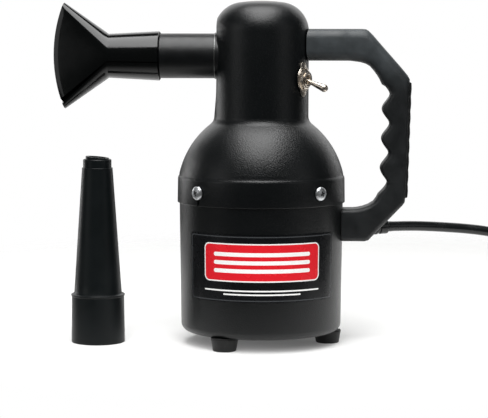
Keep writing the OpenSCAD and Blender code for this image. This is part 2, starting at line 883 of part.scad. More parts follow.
module switch_nut() {
    color(STEEL)
        at_switch()
            difference() {
                translate([0, 0, washer_out + 0.02])
                    hexagon(14.3, nut_out - washer_out - 0.02);
                translate([0, 0, washer_out - 1])
                    cylinder(r = bushing_r + 0.05, h = 6);
            }
}

module switch_terminals() {
    color("#c9a24b")
        at_switch()
            for (x = [-7, 7])
                translate([x, 0, 0])
                    block(0.8, 6.3, -switch_seat - switch_depth - 8, -switch_seat - switch_depth - 0.02);
}

// Bat lever in the off position, hanging below level
module switch_lever() {
    color(STEEL)
        at_switch()
            translate([0, 0, pivot_out])
                rotate([0, lever_down, 0]) {
                    sphere(r = lever_ball_r);
                    rotate([90, 0, 0])
                        cylinder(r = lever_pin_r, h = 2 * lever_pin_half, center = true);
                    cylinder(r = lever_root_r, h = 6);
                    translate([0, 0, 5])
                        cylinder(r1 = lever_root_r, r2 = lever_tip_r, h = lever_len - 5 - lever_tip_r);
                    translate([0, 0, lever_len - lever_tip_r])
                        sphere(r = lever_tip_r);
                }
}

// Ribbed strain relief with a flange outside the wall and a threaded shank inside
rib_pitch = boot_len / 5.6;
function boot_r(z) = boot_base_r + (boot_tip_r - boot_base_r) * z / boot_len;
module strain_relief() {
    color(RUBBER)
        at_gland()
            rotate_extrude()
                polygon([
                    [0, -7], [boot_base_r - 0.6, -7], [boot_base_r - 0.6, 0.6],
                    [boot_base_r + 1.8, 0.6], [boot_base_r + 1.8, 3.4],
                    for (k = [0:4]) let (z = 3.4 + k * rib_pitch, e = boot_len - 6.4 - 4 * rib_pitch) each [
                        [cord_r + 0.9, z],
                        [cord_r + 0.9, z + e],
                        [boot_r(z + e) - 0.4, z + e],
                        [boot_r(z + e), z + e + 0.4],
                        [boot_r(z + rib_pitch), z + rib_pitch - 0.4 + (k == 4 ? e - rib_pitch + 3.0 : 0)],
                        [boot_r(z + rib_pitch) - 0.4, z + rib_pitch + (k == 4 ? e - rib_pitch + 3.0 : 0)]
                    ],
                    [0, boot_len]
                ]);
}

module strain_relief_nut() {
    color(STEEL)
        at_gland()
            difference() {
                translate([0, 0, -can_wall - 4.6])
                    hexagon(2 * boot_base_r + 4, 3.4);
                translate([0, 0, -can_wall - 5])
                    cylinder(r = boot_base_r - 0.5, h = 6);
            }
}

module intake_filter() {
    color("#4a4a4a")
        translate([0, 0, floor_z + seat])
            cylinder(r = filter_r, h = filter_h - seat);
}

// Sheet ring that stands on the canister's floor and carries the motor
filter_r = (intake_rings > 0 ? 3 * 12.5 : 0) + 6;
seat_wall = 1.2;
eye_r = 26;
module motor_seat_ring() {
    color(STEEL) {
        difference() {
            union() {
                ring(filter_r + 0.3 + seat_wall, filter_r + 0.3, floor_z + 0.02, seat_top);
                ring(can_r(seat_top) - can_wall - 0.5, eye_r, seat_top - 1.4, seat_top);
            }
        }
    }
}

module lower_gasket() {
    color(RUBBER)
        ring(filter_r + 5, eye_r + 4, seat_top + 0.02, gasket_top);
}

module fan_shell() {
    color(STEEL) {
        ring(fan_shell_r, fan_eye_r - 0.5, gasket_top + 0.02, gasket_top + shell_t);
        ring(fan_shell_r, fan_shell_r - shell_t, gasket_top + shell_t - eps, bracket_z - 0.05);
    }
}

// Backward-curved blades between two plates, on a hub
blade_t = 1.2;
blade_arc_r = 34;
blade_root = [fan_eye_r + 1, 0];
blade_end = (fan_r - 0.6) * [cos(blade_sweep), -sin(blade_sweep)];
blade_chord = blade_end - blade_root;
blade_c = (blade_root + blade_end) / 2
    + sqrt(pow(blade_arc_r, 2) - pow(norm(blade_chord) / 2, 2))
    * [blade_chord.y, -blade_chord.x] / norm(blade_chord);
blade_a0 = atan2(blade_end.y - blade_c.y, blade_end.x - blade_c.x);
blade_a1 = atan2(blade_root.y - blade_c.y, blade_root.x - blade_c.x);
module fan_wheel() {
    color("#c8cacc")
        difference() {
            union() {
                ring(fan_r, fan_eye_r, wheel_z, blade_z);
                translate([0, 0, back_z])
                    cylinder(r = fan_r, h = wheel_top - back_z);
                translate([0, 0, blade_z])
                    cylinder(r = fan_hub_r, h = wheel_top - blade_z + 0.6);
                for (k = [0:fan_blades - 1])
                    rotate([0, 0, 360 * k / fan_blades])
                        translate([blade_c.x, blade_c.y, blade_z - 0.3])
                            rotate([0, 0, blade_a0])
                                rotate_extrude(angle = (blade_a1 - blade_a0 + 360) % 360)
                                    translate([blade_arc_r - blade_t / 2, 0])
                                        square([blade_t, fan_blade_h + 0.6]);
            }
            translate([0, 0, wheel_z - 5])
                cylinder(r = shaft_r + 0.05, h = wheel_top - wheel_z + 10);
        }
}

module fan_nut() {
    color(STEEL)
        difference() {
            translate([0, 0, blade_z - 5])
                hexagon(13, 4.9);
            translate([0, 0, blade_z - 6])
                cylinder(r = shaft_r + 0.02, h = 8);
        }
}

module diffuser() {
    color(STEEL) {
        ring(fan_shell_r - shell_t - 0.1, 14, diffuser_z, vane_z + eps);
        for (k = [0:11])
            rotate([0, 0, 30 * k])
                translate([18, -0.5, vane_z])
                    rotate([0, 0, 24])
                        cube([26, 1, bracket_z - vane_z - 0.05]);
    }
}

module at_bolts() {
    for (x = [-1, 1], y = [-1, 1])
        translate([x * bolt_xy.x, y * bolt_xy.y, 0])
            children();
}

// Lower end bell: plate with air windows, four pillars and the bearing's seat
module lower_bracket() {
    color("#9a9c9e")
        difference() {
            union() {
                translate([0, 0, bracket_z])
                    cylinder(r = fan_shell_r, h = bracket_t);
                translate([0, 0, bracket_z])
                    cylinder(r = hub_r, h = bracket_t + hub_h);
                at_bolts()
                    translate([0, 0, bracket_z])
                        cylinder(r = pillar_r, h = stator_z - bracket_z - 0.02);
            }
            translate([0, 0, lower_race_z])
                cylinder(r = race_out_r + 0.02, h = 20);
            translate([0, 0, bracket_z - 1])
                cylinder(r = shaft_r + 2, h = 20);
            for (a = [0, 90, 180, 270])
                rotate([0, 0, a])
                    translate([17, -9, bracket_z - 1])
                        cube([26, 18, bracket_t + 2]);
            at_bolts() {
                translate([0, 0, bracket_z - 1])
                    cylinder(r = bolt_r + screw_gap, h = 40);
                translate([0, 0, bracket_z - 1])
                    cylinder(r = bolt_r + 2, h = 3.2);
            }
        }
}

// Rounded square outline with exact corners
module rounded(x, y, r) {
    square([2 * x, 2 * (y - r)], center = true);
    square([2 * (x - r), 2 * y], center = true);
    for (sx = [-1, 1], sy = [-1, 1])
        translate([sx * (x - r), sy * (y - r)])
            circle(r = r);
}

module stator_core() {
    color("#77797c")
        translate([0, 0, stator_z])
            difference() {
                linear_extrude(stack_h)
                    difference() {
                        rounded(stator_x, stator_y, 12);
                        circle(r = stator_bore_r);
                        for (sx = [-1, 1], sy = [-1, 1])
                            translate([
                                sx * (coil_x[0] + coil_x[1]) / 2,
                                sy * (coil_y[0] + coil_y[1]) / 2
                            ])
                                square([coil_x[1] - coil_x[0] + 0.6, coil_y[1] - coil_y[0] + 0.6], center = true);
                    }
                at_bolts()
                    translate([0, 0, -1])
                        cylinder(r = bolt_r + screw_gap, h = stack_h + 2);
            }
}

// Field coil: a rounded loop round one pole
module field_coil(side) {
    color(COPPER)
        translate([side * (coil_x[0] + coil_x[1]) / 2, 0, stator_z + stack_h / 2])
            rotate([0, 90, 0])
                translate([0, 0, -(coil_x[1] - coil_x[0]) / 2])
                    linear_extrude(coil_x[1] - coil_x[0])
                        difference() {
                            rounded(stack_h / 2 + coil_over, coil_y[1], 6);
                            square([stack_h + 1, 2 * coil_y[0]], center = true);
                        }
}

module field_coil_left() { field_coil(-1); }
module field_coil_right() { field_coil(1); }

// Upper end bell: arms from the bearing's seat to four pillars
module upper_bracket() {
    arm = norm(bolt_xy) - bolt_r - 1.5;
    color("#9a9c9e")
        difference() {
            union() {
                translate([0, 0, upper_z])
                    cylinder(r = hub_r, h = bracket_t + hub_h);
                at_bolts()
                    translate([0, 0, stator_top + 0.02])
                        cylinder(r = pillar_r, h = upper_z + bracket_t - stator_top - 0.02);
                for (x = [-1, 1])
                    rotate([0, 0, x * atan2(bolt_xy.y, bolt_xy.x)])
                        block(2 * arm, 8, upper_z, upper_z + bracket_t);
                block(16, 2 * (holder_in + holder_len), upper_z, upper_z + bracket_t);
            }
            translate([0, 0, upper_z - 1])
                cylinder(r = race_out_r + 0.02, h = upper_race_z - upper_z + race_h + 1);
            translate([0, 0, upper_z - 1])
                cylinder(r = shaft_r + 2, h = 20);
            at_bolts()
                translate([0, 0, stator_top - 1])
                    cylinder(r = bolt_r + screw_gap, h = 60);
        }
}

module through_bolts() {
    color(STEEL)
        at_bolts() {
            translate([0, 0, bracket_z + 0.1])
                cylinder(r = bolt_r + 1.8, h = 2);
            translate([0, 0, bracket_z + 2])
                cylinder(r = bolt_r, h = upper_z + bracket_t + 4 - bracket_z - 2);
            difference() {
                translate([0, 0, upper_z + bracket_t + 0.05])
                    hexagon(7, 3);
                translate([0, 0, upper_z + bracket_t])
                    cylinder(r = bolt_r - eps, h = 4);
            }
        }
}

module brush_holders() {
    color("#6b4a2e")
        for (s = [-1, 1])
            difference() {
                translate([-6, s > 0 ? holder_in : -holder_in - holder_len, brush_z - 5.5])
                    cube([12, holder_len, upper_z - brush_z + 5.5 - 0.02]);
                translate([
                    -brush_w / 2 - 0.1,
                    s > 0 ? holder_in - 1 : -holder_in - holder_len + 2,
                    brush_z - brush_h / 2 - 0.1
                ])
                    cube([brush_w + 0.2, holder_len - 1, brush_h + 0.2]);
            }
}

module carbon_brushes() {
    color("#2e2e30")
        for (s = [0, 180])
            rotate([0, 0, s])
                translate([-brush_w / 2, commutator_r + brush_gap, brush_z - brush_h / 2])
                    cube([brush_w, brush_len, brush_h]);
}

module brush_springs() {
    spring_from = commutator_r + brush_gap + brush_len + 0.1;
    spring_to = holder_in + holder_len - 2.1;
    color(STEEL)
        for (s = [0, 180])
            rotate([0, 0, s])
                translate([0, spring_from, brush_z])
                    rotate([-90, 0, 0])
                        ring(2.6, 1.9, 0, spring_to - spring_from);
}

// One race: a ring with a groove that the balls run in
module race(r_out, r_in) {
    rotate_extrude()
        difference() {
            translate([r_in, 0])
                square([r_out - r_in, race_h]);
            translate([race_mid_r, race_h / 2])
                circle(r = groove_r);
        }
}

module at_bearings() {
    for (z = [lower_race_z, upper_race_z])
        translate([0, 0, z])
            children();
}

module bearing_outer_races() {
    color(STEEL)
        at_bearings()
            race(race_out_r, race_mid_r + race_gap);
}

module bearing_inner_races() {
    color(STEEL)
        at_bearings()
            race(race_mid_r - race_gap, shaft_r + 0.02);
}

module bearing_balls() {
    color(STEEL)
        at_bearings()
            for (k = [0:balls - 1])
                rotate([0, 0, 360 * k / balls])
                    translate([race_mid_r, 0, race_h / 2])
                        sphere(r = ball_r);
}

module motor_shaft() {
    color(STEEL)
        translate([0, 0, blade_z - 6])
            cylinder(r = shaft_r, h = upper_race_z + race_h - blade_z + 6);
}

module armature_core() {
    color("#77797c")
        difference() {
            ring(armature_r, shaft_r + 0.02, stator_z, stator_top);
            for (k = [0:11])
                rotate([0, 0, 30 * k])
                    translate([armature_r - 1.4, -1.2, stator_z - 1])
                        cube([3, 2.4, stack_h + 2]);
        }
}

module armature_windings() {
    color(COPPER)
        for (z = [stator_z - 5.6, stator_top + 0.1])
            translate([0, 0, z])
                rotate_extrude()
                    polygon([
                        [shaft_r + 0.5, 0], [winding_r - 3, 0], [winding_r, 2], [winding_r, 3.8],
                        [winding_r - 2, 5.5], [shaft_r + 0.5, 5.5]
                    ]);
}

module commutator() {
    color(COPPER)
        difference() {
            ring(commutator_r, shaft_r + 0.02, commutator_z, commutator_z + commutator_h);
            for (k = [0:23])
                rotate([0, 0, 15 * k])
                    translate([commutator_r - 0.8, -0.25, commutator_z - 1])
                        cube([2, 0.5, commutator_h + 2]);
        }
}

module top_cushion() {
    color(RUBBER)
        ring(hub_r + 1.5, shaft_r + 4, cushion_z, cushion_z + cushion_h);
}

// Spider that sits on the canister's rim and holds the motor down
module motor_bridge() {
    low = rim_z + 0.1;
    eye_r = shaft_r + 3;
    cap_r = hub_r + 5.5;
    foot_r = rim_r - 8.5;
    color(STEEL)
        difference() {
            rotate_extrude()
                polygon([
                    [eye_r, bridge_top], [cap_r, bridge_top], [foot_r, low], [rim_r - 0.4, low],
                    [rim_r - 0.4, low + bridge_t], [foot_r + 0.5, low + bridge_t],
                    [cap_r + 0.6, bridge_top + bridge_t], [eye_r, bridge_top + bridge_t]
                ]);
            for (a = [0, 90, 180, 270])
                rotate([0, 0, a])
                    translate([0, 0, low - 1])
                        intersection() {
                            translate([bridge_arm_w / 2, bridge_arm_w / 2, 0])
                                cube(rim_r);
                            cylinder(r = foot_r + 1, h = rim_r);
                        }
        }
}

// Insulated wires from the gland to the switch and on to the brushes
WIRE_TO_SWITCH = [
    [51.2, 21.1, gland_z], [49.6, 20.4, gland_z + 0.3], [48.8, 19.6, gland_z + 3.4], [49, 17.5, 104], [48, 15, 118], [43, 12, 132],
    [36, 11, 152], [27, 8, 168], [17, 4, 180], [8, 1, 189], [5.4, -1.4, 194], [4.6, -2.4, 197]
];
WIRE_TO_BRUSH = [
    [4.6, -2.4, 213.8], [2, -1, 218], [-6, 3, 218], [-13, 8, 206], [-17, 13, 186], [-19, 20, 166],
    [-19, 27, 148], [-15, 32, 134], [-11, 33.4, 122], [-8.4, 33, 117.6], [-6.05, 33, 117.6]
];
WIRE_NEUTRAL = [
    [49.2, 25.7, gland_z], [47.6, 25.2, gland_z + 0.3], [46.8, 25, gland_z + 3.4], [46.8, 23, 98], [46, 10, 110], [43, -8, 114], [37, -19, 115],
    [25, -30, 116], [13, -33, 117.6], [6.2, -33, 117.6]
];
module inner_wires() {
    color("#d8d8d8")
        for (path = [WIRE_TO_SWITCH, WIRE_TO_BRUSH, WIRE_NEUTRAL])
            tube(path, 1.2, 8);
}

module cord_free() {
    color(RUBBER)
        tube(CORD_ROUTE, cord_r, 10);
}

module cord_coil() {
    color(RUBBER)
        tube(coil_points, cord_r, 6);
}

// Strap round the whole bundle of turns
module cord_tie() {
    in0 = coil_in_r - cord_r - 0.3;
    in1 = coil_out_r + cord_r + 0.3;
    z0 = coil_lift - 0.15;
    z1 = coil_top + 0.3;
    color("#202124")
        translate([coil_xy.x, coil_xy.y, 0])
            rotate([0, 0, tie_az])
                difference() {
                    translate([in0 - tie_t, -tie_w / 2, z0 - tie_t])
                        cube([in1 - in0 + 2 * tie_t, tie_w, z1 - z0 + 2 * tie_t]);
                    translate([in0, -tie_w, z0])
                        cube([in1 - in0, 2 * tie_w, z1 - z0]);
                }
}

module at_plug() {
    translate(plug_start)
        children();
}

// Moulded plug: a tapered neck and a body with a flat face
module plug_body() {
    color(RUBBER)
        at_plug() {
            rotate([0, 90, 0])
                translate([0, 0, 0.02])
                    cylinder(r1 = cord_r + 1.2, r2 = cord_r + 3.6, h = plug_neck + 0.5);
            translate([plug_neck, 0, 0])
                rotate([90, 0, 90])
                    linear_extrude(plug_len)
                        rounded(plug_w / 2, plug_t / 2, 6);
        }
}

module plug_blades() {
    face = plug_neck + plug_len + 0.02;
    color("#c9a24b")
        at_plug() {
            for (y = [-6.35, 6.35])
                translate([face, y - 0.75, 0.8])
                    cube([16.5, 1.5, 6.35]);
            translate([face, 0, -7.4])
                rotate([0, 90, 0])
                    cylinder(r = 2.4, h = 19);
        }
}

// Fan-shaped solid between the round throat and the flat mouth, moved inwards by t
module flare_fan(t, reach) {
    hull() {
        translate([0, 0, throat_at - 3])
            cylinder(r = flare_throat_r - t + 0.05, h = 3, $fn = 48);
        for (s = [-1, 1])
            translate([s * (flare_half_h - flare_half_t), 0, mouth_at + reach])
                cylinder(r = flare_half_t - t, h = 1, $fn = 48);
    }
}

module flare_nozzle() {
    color("#0d0e0f")
        on_outlet()
            difference() {
                intersection() {
                    union() {
                        translate([0, 0, flare_start])
                            cylinder(r1 = flare_collar_r, r2 = flare_throat_r + 0.1, h = flare_collar_len);
                        flare_fan(0, 0);
                    }
                    translate([0, 0, mouth_at - flare_mouth_r])
                        rotate([90, 0, 0])
                            translate([0, 0, -flare_half_h])
                                cylinder(r = flare_mouth_r, h = 2 * flare_half_h, $fn = 180);
                }
                flare_fan(flare_wall, 0.5);
                translate([0, 0, flare_start - 1])
                    cylinder(r = socket_r, h = spigot_len + 1.6);
                translate([0, 0, flare_start])
                    cylinder(r = flare_bore_r, h = flare_collar_len - 2);
            }
}

function spare_cone(z) = spare_cone_r + (spare_top_r - spare_cone_r)
    * (z - spare_collar_h - 1.7) / (spare_h - spare_tip_step - 1 - spare_collar_h - 1.7);
module tapered_nozzle() {
    step_z = spare_h - spare_tip_step;
    color(SATIN)
        translate([-spare_x, -spare_y, 0])
            rotate_extrude()
                polygon([
                    [socket_r, 0], [spare_collar_r, 0],
                    [spare_collar_r - 0.4, spare_collar_h - 1.6],
                    [spare_collar_r + 0.1, spare_collar_h - 1],
                    [spare_collar_r + 0.1, spare_collar_h],
                    [spare_cone_r + 0.5, spare_collar_h + 0.6],
                    [spare_cone_r, spare_collar_h + 1.7],
                    [spare_top_r, step_z - 1], [spare_top_r, step_z], [spare_top_r - 0.9, step_z + 0.1],
                    [spare_top_r - 0.9, spare_h - 0.6], [spare_top_r - 1.4, spare_h],
                    [tip_r + 0.05, spare_h], [tip_r + 0.05, tip_seat_z], [tip_r - 1.4, tip_seat_z],
                    [socket_r - 1.5, spare_collar_h - 2.2], [socket_r, spare_collar_h - 3.8]
                ]);
}

// Insert in the nozzle's tip, its rim cut at a slant
module nozzle_tip() {
    color("#1a1b1c")
        translate([-spare_x, -spare_y, 0])
            difference() {
                ring(tip_r, tip_r - 2, tip_seat_z + 0.02, spare_h + tip_rise);
                translate([-tip_r, 0, spare_h + tip_rise])
                    rotate([0, tip_tilt, 0])
                        translate([-tip_r, -2 * tip_r, 0])
                            cube([6 * tip_r, 4 * tip_r, tip_r]);
            }
}

upper_housing();
lower_can();
front_label();
outlet_tube();
outlet_ring();
handle();
handle_back_pad();
handle_screws();
handle_backing_plates();
skirt_screws();
skirt_nuts();
foot_front();
foot_right();
foot_rear();
foot_screws();
foot_nuts();
switch_body();
switch_bushing();
switch_plate();
switch_washer();
switch_nut();
switch_terminals();
strain_relief();
strain_relief_nut();
intake_filter();
motor_seat_ring();
lower_gasket();
fan_shell();
diffuser();
lower_bracket();
stator_core();
field_coil_left();
field_coil_right();
upper_bracket();
through_bolts();
brush_holders();
carbon_brushes();
brush_springs();
bearing_outer_races();
bearing_balls();
top_cushion();
motor_bridge();
inner_wires();
cord_free();
cord_coil();
cord_tie();
plug_body();
plug_blades();
motor_shaft();
armature_core();
armature_windings();
commutator();
fan_wheel();
fan_nut();
bearing_inner_races();
switch_lever();
flare_nozzle();
tapered_nozzle();
nozzle_tip();
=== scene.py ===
"""Finish of a car dryer blower: its outer pieces, materials and stage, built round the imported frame."""

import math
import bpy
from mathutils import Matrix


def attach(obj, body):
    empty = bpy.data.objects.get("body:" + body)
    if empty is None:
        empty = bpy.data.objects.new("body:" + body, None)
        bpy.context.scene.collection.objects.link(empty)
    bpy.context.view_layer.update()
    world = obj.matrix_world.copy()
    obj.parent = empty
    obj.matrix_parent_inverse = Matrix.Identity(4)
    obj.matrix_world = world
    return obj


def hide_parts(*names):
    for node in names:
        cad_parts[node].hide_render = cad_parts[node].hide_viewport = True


bl_info = {
    "name": "Car dryer blower",
    "version": (1, 0, 0),
    "blender": (4, 5, 0),
    "location": "View3D > Sidebar > Blower",
    "description": "Builds the visible pieces and materials of a car dryer blower round its CAD frame",
    "category": "Object",
}

from types import SimpleNamespace

import bmesh
import bpy
from bpy.props import FloatProperty, FloatVectorProperty, PointerProperty
from bpy.types import Operator, Panel, PropertyGroup
from mathutils import Matrix, Vector

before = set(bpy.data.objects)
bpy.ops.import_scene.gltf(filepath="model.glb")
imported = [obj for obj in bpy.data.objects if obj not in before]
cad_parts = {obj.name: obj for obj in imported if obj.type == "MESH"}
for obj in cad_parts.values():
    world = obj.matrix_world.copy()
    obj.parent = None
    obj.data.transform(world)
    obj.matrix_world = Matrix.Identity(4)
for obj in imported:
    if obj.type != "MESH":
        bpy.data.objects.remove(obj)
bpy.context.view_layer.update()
MM = 0.001
FULL_TURN = 2 * math.pi


# ---------------------------------------------------------------- sizes and colours


def length(name, mm, description):
    """A size for the sidebar, given here in mm and kept in metres, as Blender's own lengths are."""
    return FloatProperty(
        name=name, description=description, default=mm * MM, min=0.0, precision=4, subtype="DISTANCE"
    )


def direction(name, degrees, description):
    """An angle for the sidebar, given here in degrees."""
    return FloatProperty(name=name, description=description, default=math.radians(degrees), subtype="ANGLE")


def hex_to_linear(code):
    """Linear red, green and blue of an sRGB hex colour."""
    parts = [int(code[i : i + 2], 16) / 255 for i in (0, 2, 4)]
    return tuple(c / 12.92 if c <= 0.04045 else ((c + 0.055) / 1.055) ** 2.4 for c in parts)


def colour(name, code, description):
    """A colour for the sidebar, given here as an sRGB hex code."""
    return FloatVectorProperty(
        name=name, description=description, default=hex_to_linear(code), subtype="COLOR", min=0.0, max=1.0
    )


def measured(group):
    """A group's sizes in the script's own units, millimetres and degrees."""
    sizes = {}
    for prop in group.bl_rna.properties:
        if prop.type == "FLOAT":
            value = getattr(group, prop.identifier)
            value = math.degrees(value) if prop.subtype == "ANGLE" else value / MM
            sizes[prop.identifier] = round(value, 4)
    return SimpleNamespace(**sizes)


class BlowerHousingSizes(PropertyGroup):
    """Sizes of the domed housing, the canister and the label"""

    skirt_r: length("Skirt radius", 65.0, "Outside of the band that carries the four screws")
    skirt_z: length("Skirt's lower edge", 110.2, "Height of the band's lower edge")
    crease_z: length("Skirt's crease", 131.2, "Height where the band turns in to the shoulder")
    start_r: length("Shoulder's foot", 63.5, "Radius where the shoulder's arc leaves the crease")
    shoulder_r: length("Shoulder's arc", 66.9, "Radius of the arc between the crease and the neck")
    shoulder_drop: length("Shoulder's drop", 15.0, "How far the arc's centre lies below its foot")
    neck_r: length("Neck radius", 36.5, "Outside of the neck")
    fillet_r: length("Neck fillet", 8.0, "Hollow round between the shoulder and the neck")
    dome_z: length("Dome's top", 265.4, "Height of the top of the dome")
    dome_edge_r: length("Dome's edge", 22.6, "Round between the neck and the crown of the dome")
    pad_x: length("Outlet pad", 34.2, "Distance of the neck's flat outlet pad from the axis")
    pad_drop: length("Outlet pad's reach", 21.7, "How far the flat pad runs below the outlet's axis")
    wall: length("Sheet thickness", 1.4, "Steel of the housing and the canister")
    can_top_r: length("Canister's top radius", 63.4, "Outside of the canister just under the skirt")
    can_bottom_r: length("Canister's bottom radius", 62.2, "Outside of the canister above its bottom corner")
    can_corner_r: length("Canister's corner", 6.0, "Round between the wall and the underside")
    can_z: length("Canister's underside", 10.0, "Height of the underside")
    rim_z: length("Canister's rim", 124.0, "Height of the rim inside the skirt")
    screw_z: length("Skirt screws", 120.2, "Height of the four cross-head screws")
    screw_r: length("Skirt screws' heads", 5.25, "Radius of each domed head")
    foot_circle_r: length("Foot circle", 52.0, "Distance of each foot from the axis")
    intake_pitch: length("Intake rings", 12.0, "Distance between the rings of intake holes")
    intake_hole_r: length("Intake holes", 3.0, "Radius of each intake hole")
    label_low: length("Label's lower edge", 39.3, "Height of the label's lower edge")
    label_high: length("Label's upper edge", 90.0, "Height of the label's upper edge")
    label_from: direction("Label's left end", -144.3, "Direction of the left end, from the handle")
    label_to: direction("Label's right end", -30.0, "Direction of the right end, from the handle")


class BlowerOutletSizes(PropertyGroup):
    """Sizes of the outlet and the nozzles, with distances from the blower's axis"""

    axis_z: length("Outlet's height", 223.0, "Height of the tube's axis")
    tube_r: length("Tube radius", 17.3, "Outside of the painted tube")
    tube_end: length("Tube's shoulder", 78.6, "Distance of the step where the spigot starts")
    spigot_r: length("Spigot radius", 16.0, "Outside of the spigot that a nozzle is pushed on to")
    spigot_end: length("Spigot's end", 106.6, "Distance of the spigot's open end")
    wall: length("Tube wall", 1.5, "Steel of the tube")
    ring_x: length("Trim ring", 35.2, "Distance of the bright ring at the neck")
    socket_r: length("Nozzle socket", 16.05, "Inside of the nozzles where they go over the spigot")
    collar_r: length("Collar radius", 19.1, "Outside of the flared nozzle's collar at its edge")
    throat_r: length("Throat radius", 17.0, "Outside of the flared nozzle where its fan starts")
    bore_r: length("Throat bore", 14.5, "Inside of the flared nozzle before its fan")
    collar_len: length("Collar length", 39.6, "Length of the flared nozzle's round part")
    fan_len: length("Fan length", 42.8, "Length of the flared nozzle's fan")
    fan_half_h: length("Fan's half height", 46.9, "Half the height of the flared mouth")
    fan_half_t: length("Fan's half thickness", 3.9, "Half the thickness of the flared mouth")
    fan_wall: length("Fan's wall", 1.2, "Plastic of the flared mouth")
    mouth_r: length("Mouth's arc", 105.0, "Radius of the arc that the flared mouth follows")
    spare_x: length("Loose nozzle, left", 127.2, "Distance of the loose nozzle to the left of the axis")
    spare_y: length("Loose nozzle, front", 6.5, "Distance of the loose nozzle in front of the axis")
    spare_h: length("Loose nozzle's height", 143.0, "Height of the loose nozzle without its tip")
    tip_h: length("Tip's height", 145.5, "Height of the tip insert's cut end")


class BlowerHandleSizes(PropertyGroup):
    """Sizes of the frame handle"""

    thickness: length("Thickness", 26.0, "Thickness of the handle from front to back")
    edge_r: length("Upper arm's edges", 7.2, "Rounded edges of the upper arm")
    crisp_r: length("Lower edges", 3.4, "Rounded edges of the grip and the lower arm")
    top_z: length("Top", 243.9, "Height of the handle's top")
    upper_in_z: length("Upper arm's underside", 219.5, "Height of the upper arm's underside")
    bottom_z: length("Underside", 80.4, "Height of the handle's underside")
    lower_in_z: length("Lower arm's top", 105.4, "Height of the lower arm's top")
    grip_x: length("Grip's back", 114.3, "Distance of the grip's back from the axis")
    grip_lean: length("Grip's lean", 2.6, "How far the grip's back leans in over its length")
    groove_pitch: length("Finger grooves", 22.8, "Distance between finger grooves")
    groove_depth: length("Groove depth", 5.95, "Depth of a finger groove")
    seam_x: length("Seam", 65.6, "Distance where the thicker upper arm steps down to the frame")
    pad_width: length("Back pad", 16.0, "Width of the rubber strip on the grip's back")


class BlowerCordSizes(PropertyGroup):
    """Sizes of the mains cord and its strain relief"""

    cord_d: length("Cord diameter", 8.0, "Outside of the mains cord")
    gland_z: length("Gland's height", 86.4, "Height where the cord leaves the canister")
    gland_r: length("Gland's seat", 62.97, "Distance of the gland's seat from the axis")
    gland_az: direction("Gland's direction", 25.0, "Direction of the gland, from the handle")
    boot_len: length("Strain relief", 50.0, "Length of the tapered strain relief")


class BlowerSwitchSizes(PropertyGroup):
    """Sizes of the toggle switch"""

    height: length("Height", 205.5, "Height of the switch on the neck")
    seat_r: length("Seat", 36.2, "Distance of the switch's seat from the axis")
    azimuth: direction("Direction", -28.0, "Direction of the switch, from the handle")
    hole_r: length("Plate and nut bore", 6.05, "Radius of the bore round the threaded bushing")
    lever_down: direction("Lever's rest angle", 20.0, "How far the lever points below level")
    lever_len: length("Lever length", 22.0, "Length of the lever from its ball")


class BlowerColours(PropertyGroup):
    """Colours of the finishes"""

    powder_coat: colour("Powder coat", "07090a", "Housing and canister")
    tube_paint: colour("Outlet tube paint", "08090a", "Outlet tube")
    handle_nylon: colour("Handle nylon", "121415", "Frame handle")
    gloss_black: colour("Gloss black", "050606", "Flared nozzle")
    nozzle_black: colour("Loose nozzle black", "0a0e0f", "Loose nozzle and its tip")
    label_black: colour("Label black", "0b0c0e", "Ground of the label")
    label_grey: colour("Label grey", "3c3e40", "Thin line round the label")
    label_red: colour("Label red", "d81f2a", "Panel of the label")
    label_white: colour("Label white", "f1f1ef", "Stripes and lines of the label")
    rubber: colour("Rubber", "0b0c0c", "Feet and back pad")
    jacket: colour("Cord jacket", "0f1112", "Cord, strain relief and plug")
    zinc: colour("Zinc plating", "e2e5e7", "Screws and nuts")
    nickel: colour("Nickel plating", "e6dccf", "Switch")
    trim: colour("Trim ring", "8d8e8d", "Bright ring at the neck")
    floor: colour("Floor", "e4e4e3", "Background paper")


# ---------------------------------------------------------------- mesh helpers, all in millimetres


def polar(radius, degrees):
    """The point at this distance and direction."""
    return radius * math.cos(math.radians(degrees)), radius * math.sin(math.radians(degrees))


def arc(centre, radius, start, end, steps):
    """Points of an arc, angles in degrees."""
    around = [polar(radius, start + (end - start) * i / steps) for i in range(steps + 1)]
    return [(centre[0] + x, centre[1] + y) for x, y in around]


def smooth_step(x):
    """Goes from 0 to 1 as x does, with a level start and end."""
    c = min(max(x, 0.0), 1.0)
    return c * c * (3 - 2 * c)


def outline(points, plane="XZ", closed=True):
    """A bmesh that holds one chain of edges."""
    bm = bmesh.new()
    spot = {"XZ": lambda p: (p[0], 0, p[1]), "XY": lambda p: (p[0], p[1], 0)}[plane]
    verts = [bm.verts.new(spot(p)) for p in points]
    pairs = list(zip(verts, verts[1:])) + ([(verts[-1], verts[0])] if closed else [])
    for pair in pairs:
        bm.edges.new(pair)
    return bm


def tidy(bm, reach=1e-3):
    """Closes seams and poles and turns the faces outwards."""
    bmesh.ops.remove_doubles(bm, verts=bm.verts, dist=reach)
    bmesh.ops.recalc_face_normals(bm, faces=bm.faces)
    return bm


def spun(points, closed=True, steps=144):
    """A turned piece about Z from its (radius, height) profile."""
    bm = outline(points, closed=closed)
    bmesh.ops.spin(
        bm, geom=bm.verts[:] + bm.edges[:], cent=(0, 0, 0), axis=(0, 0, 1), dvec=(0, 0, 0),
        angle=FULL_TURN, steps=steps, use_merge=True, use_duplicate=False,
    )
    return tidy(bm)


def rod(radius, low, high, steps=48):
    """A solid cylinder about Z."""
    return spun([(0, low), (radius, low), (radius, high), (0, high)], closed=False, steps=steps)


def box(size, centre=(0, 0, 0)):
    """A block of this length, width and height."""
    bm = bmesh.new()
    bmesh.ops.create_cube(bm, size=1)
    bmesh.ops.scale(bm, vec=size, verts=bm.verts)
    return placed(bm, shift(*centre))


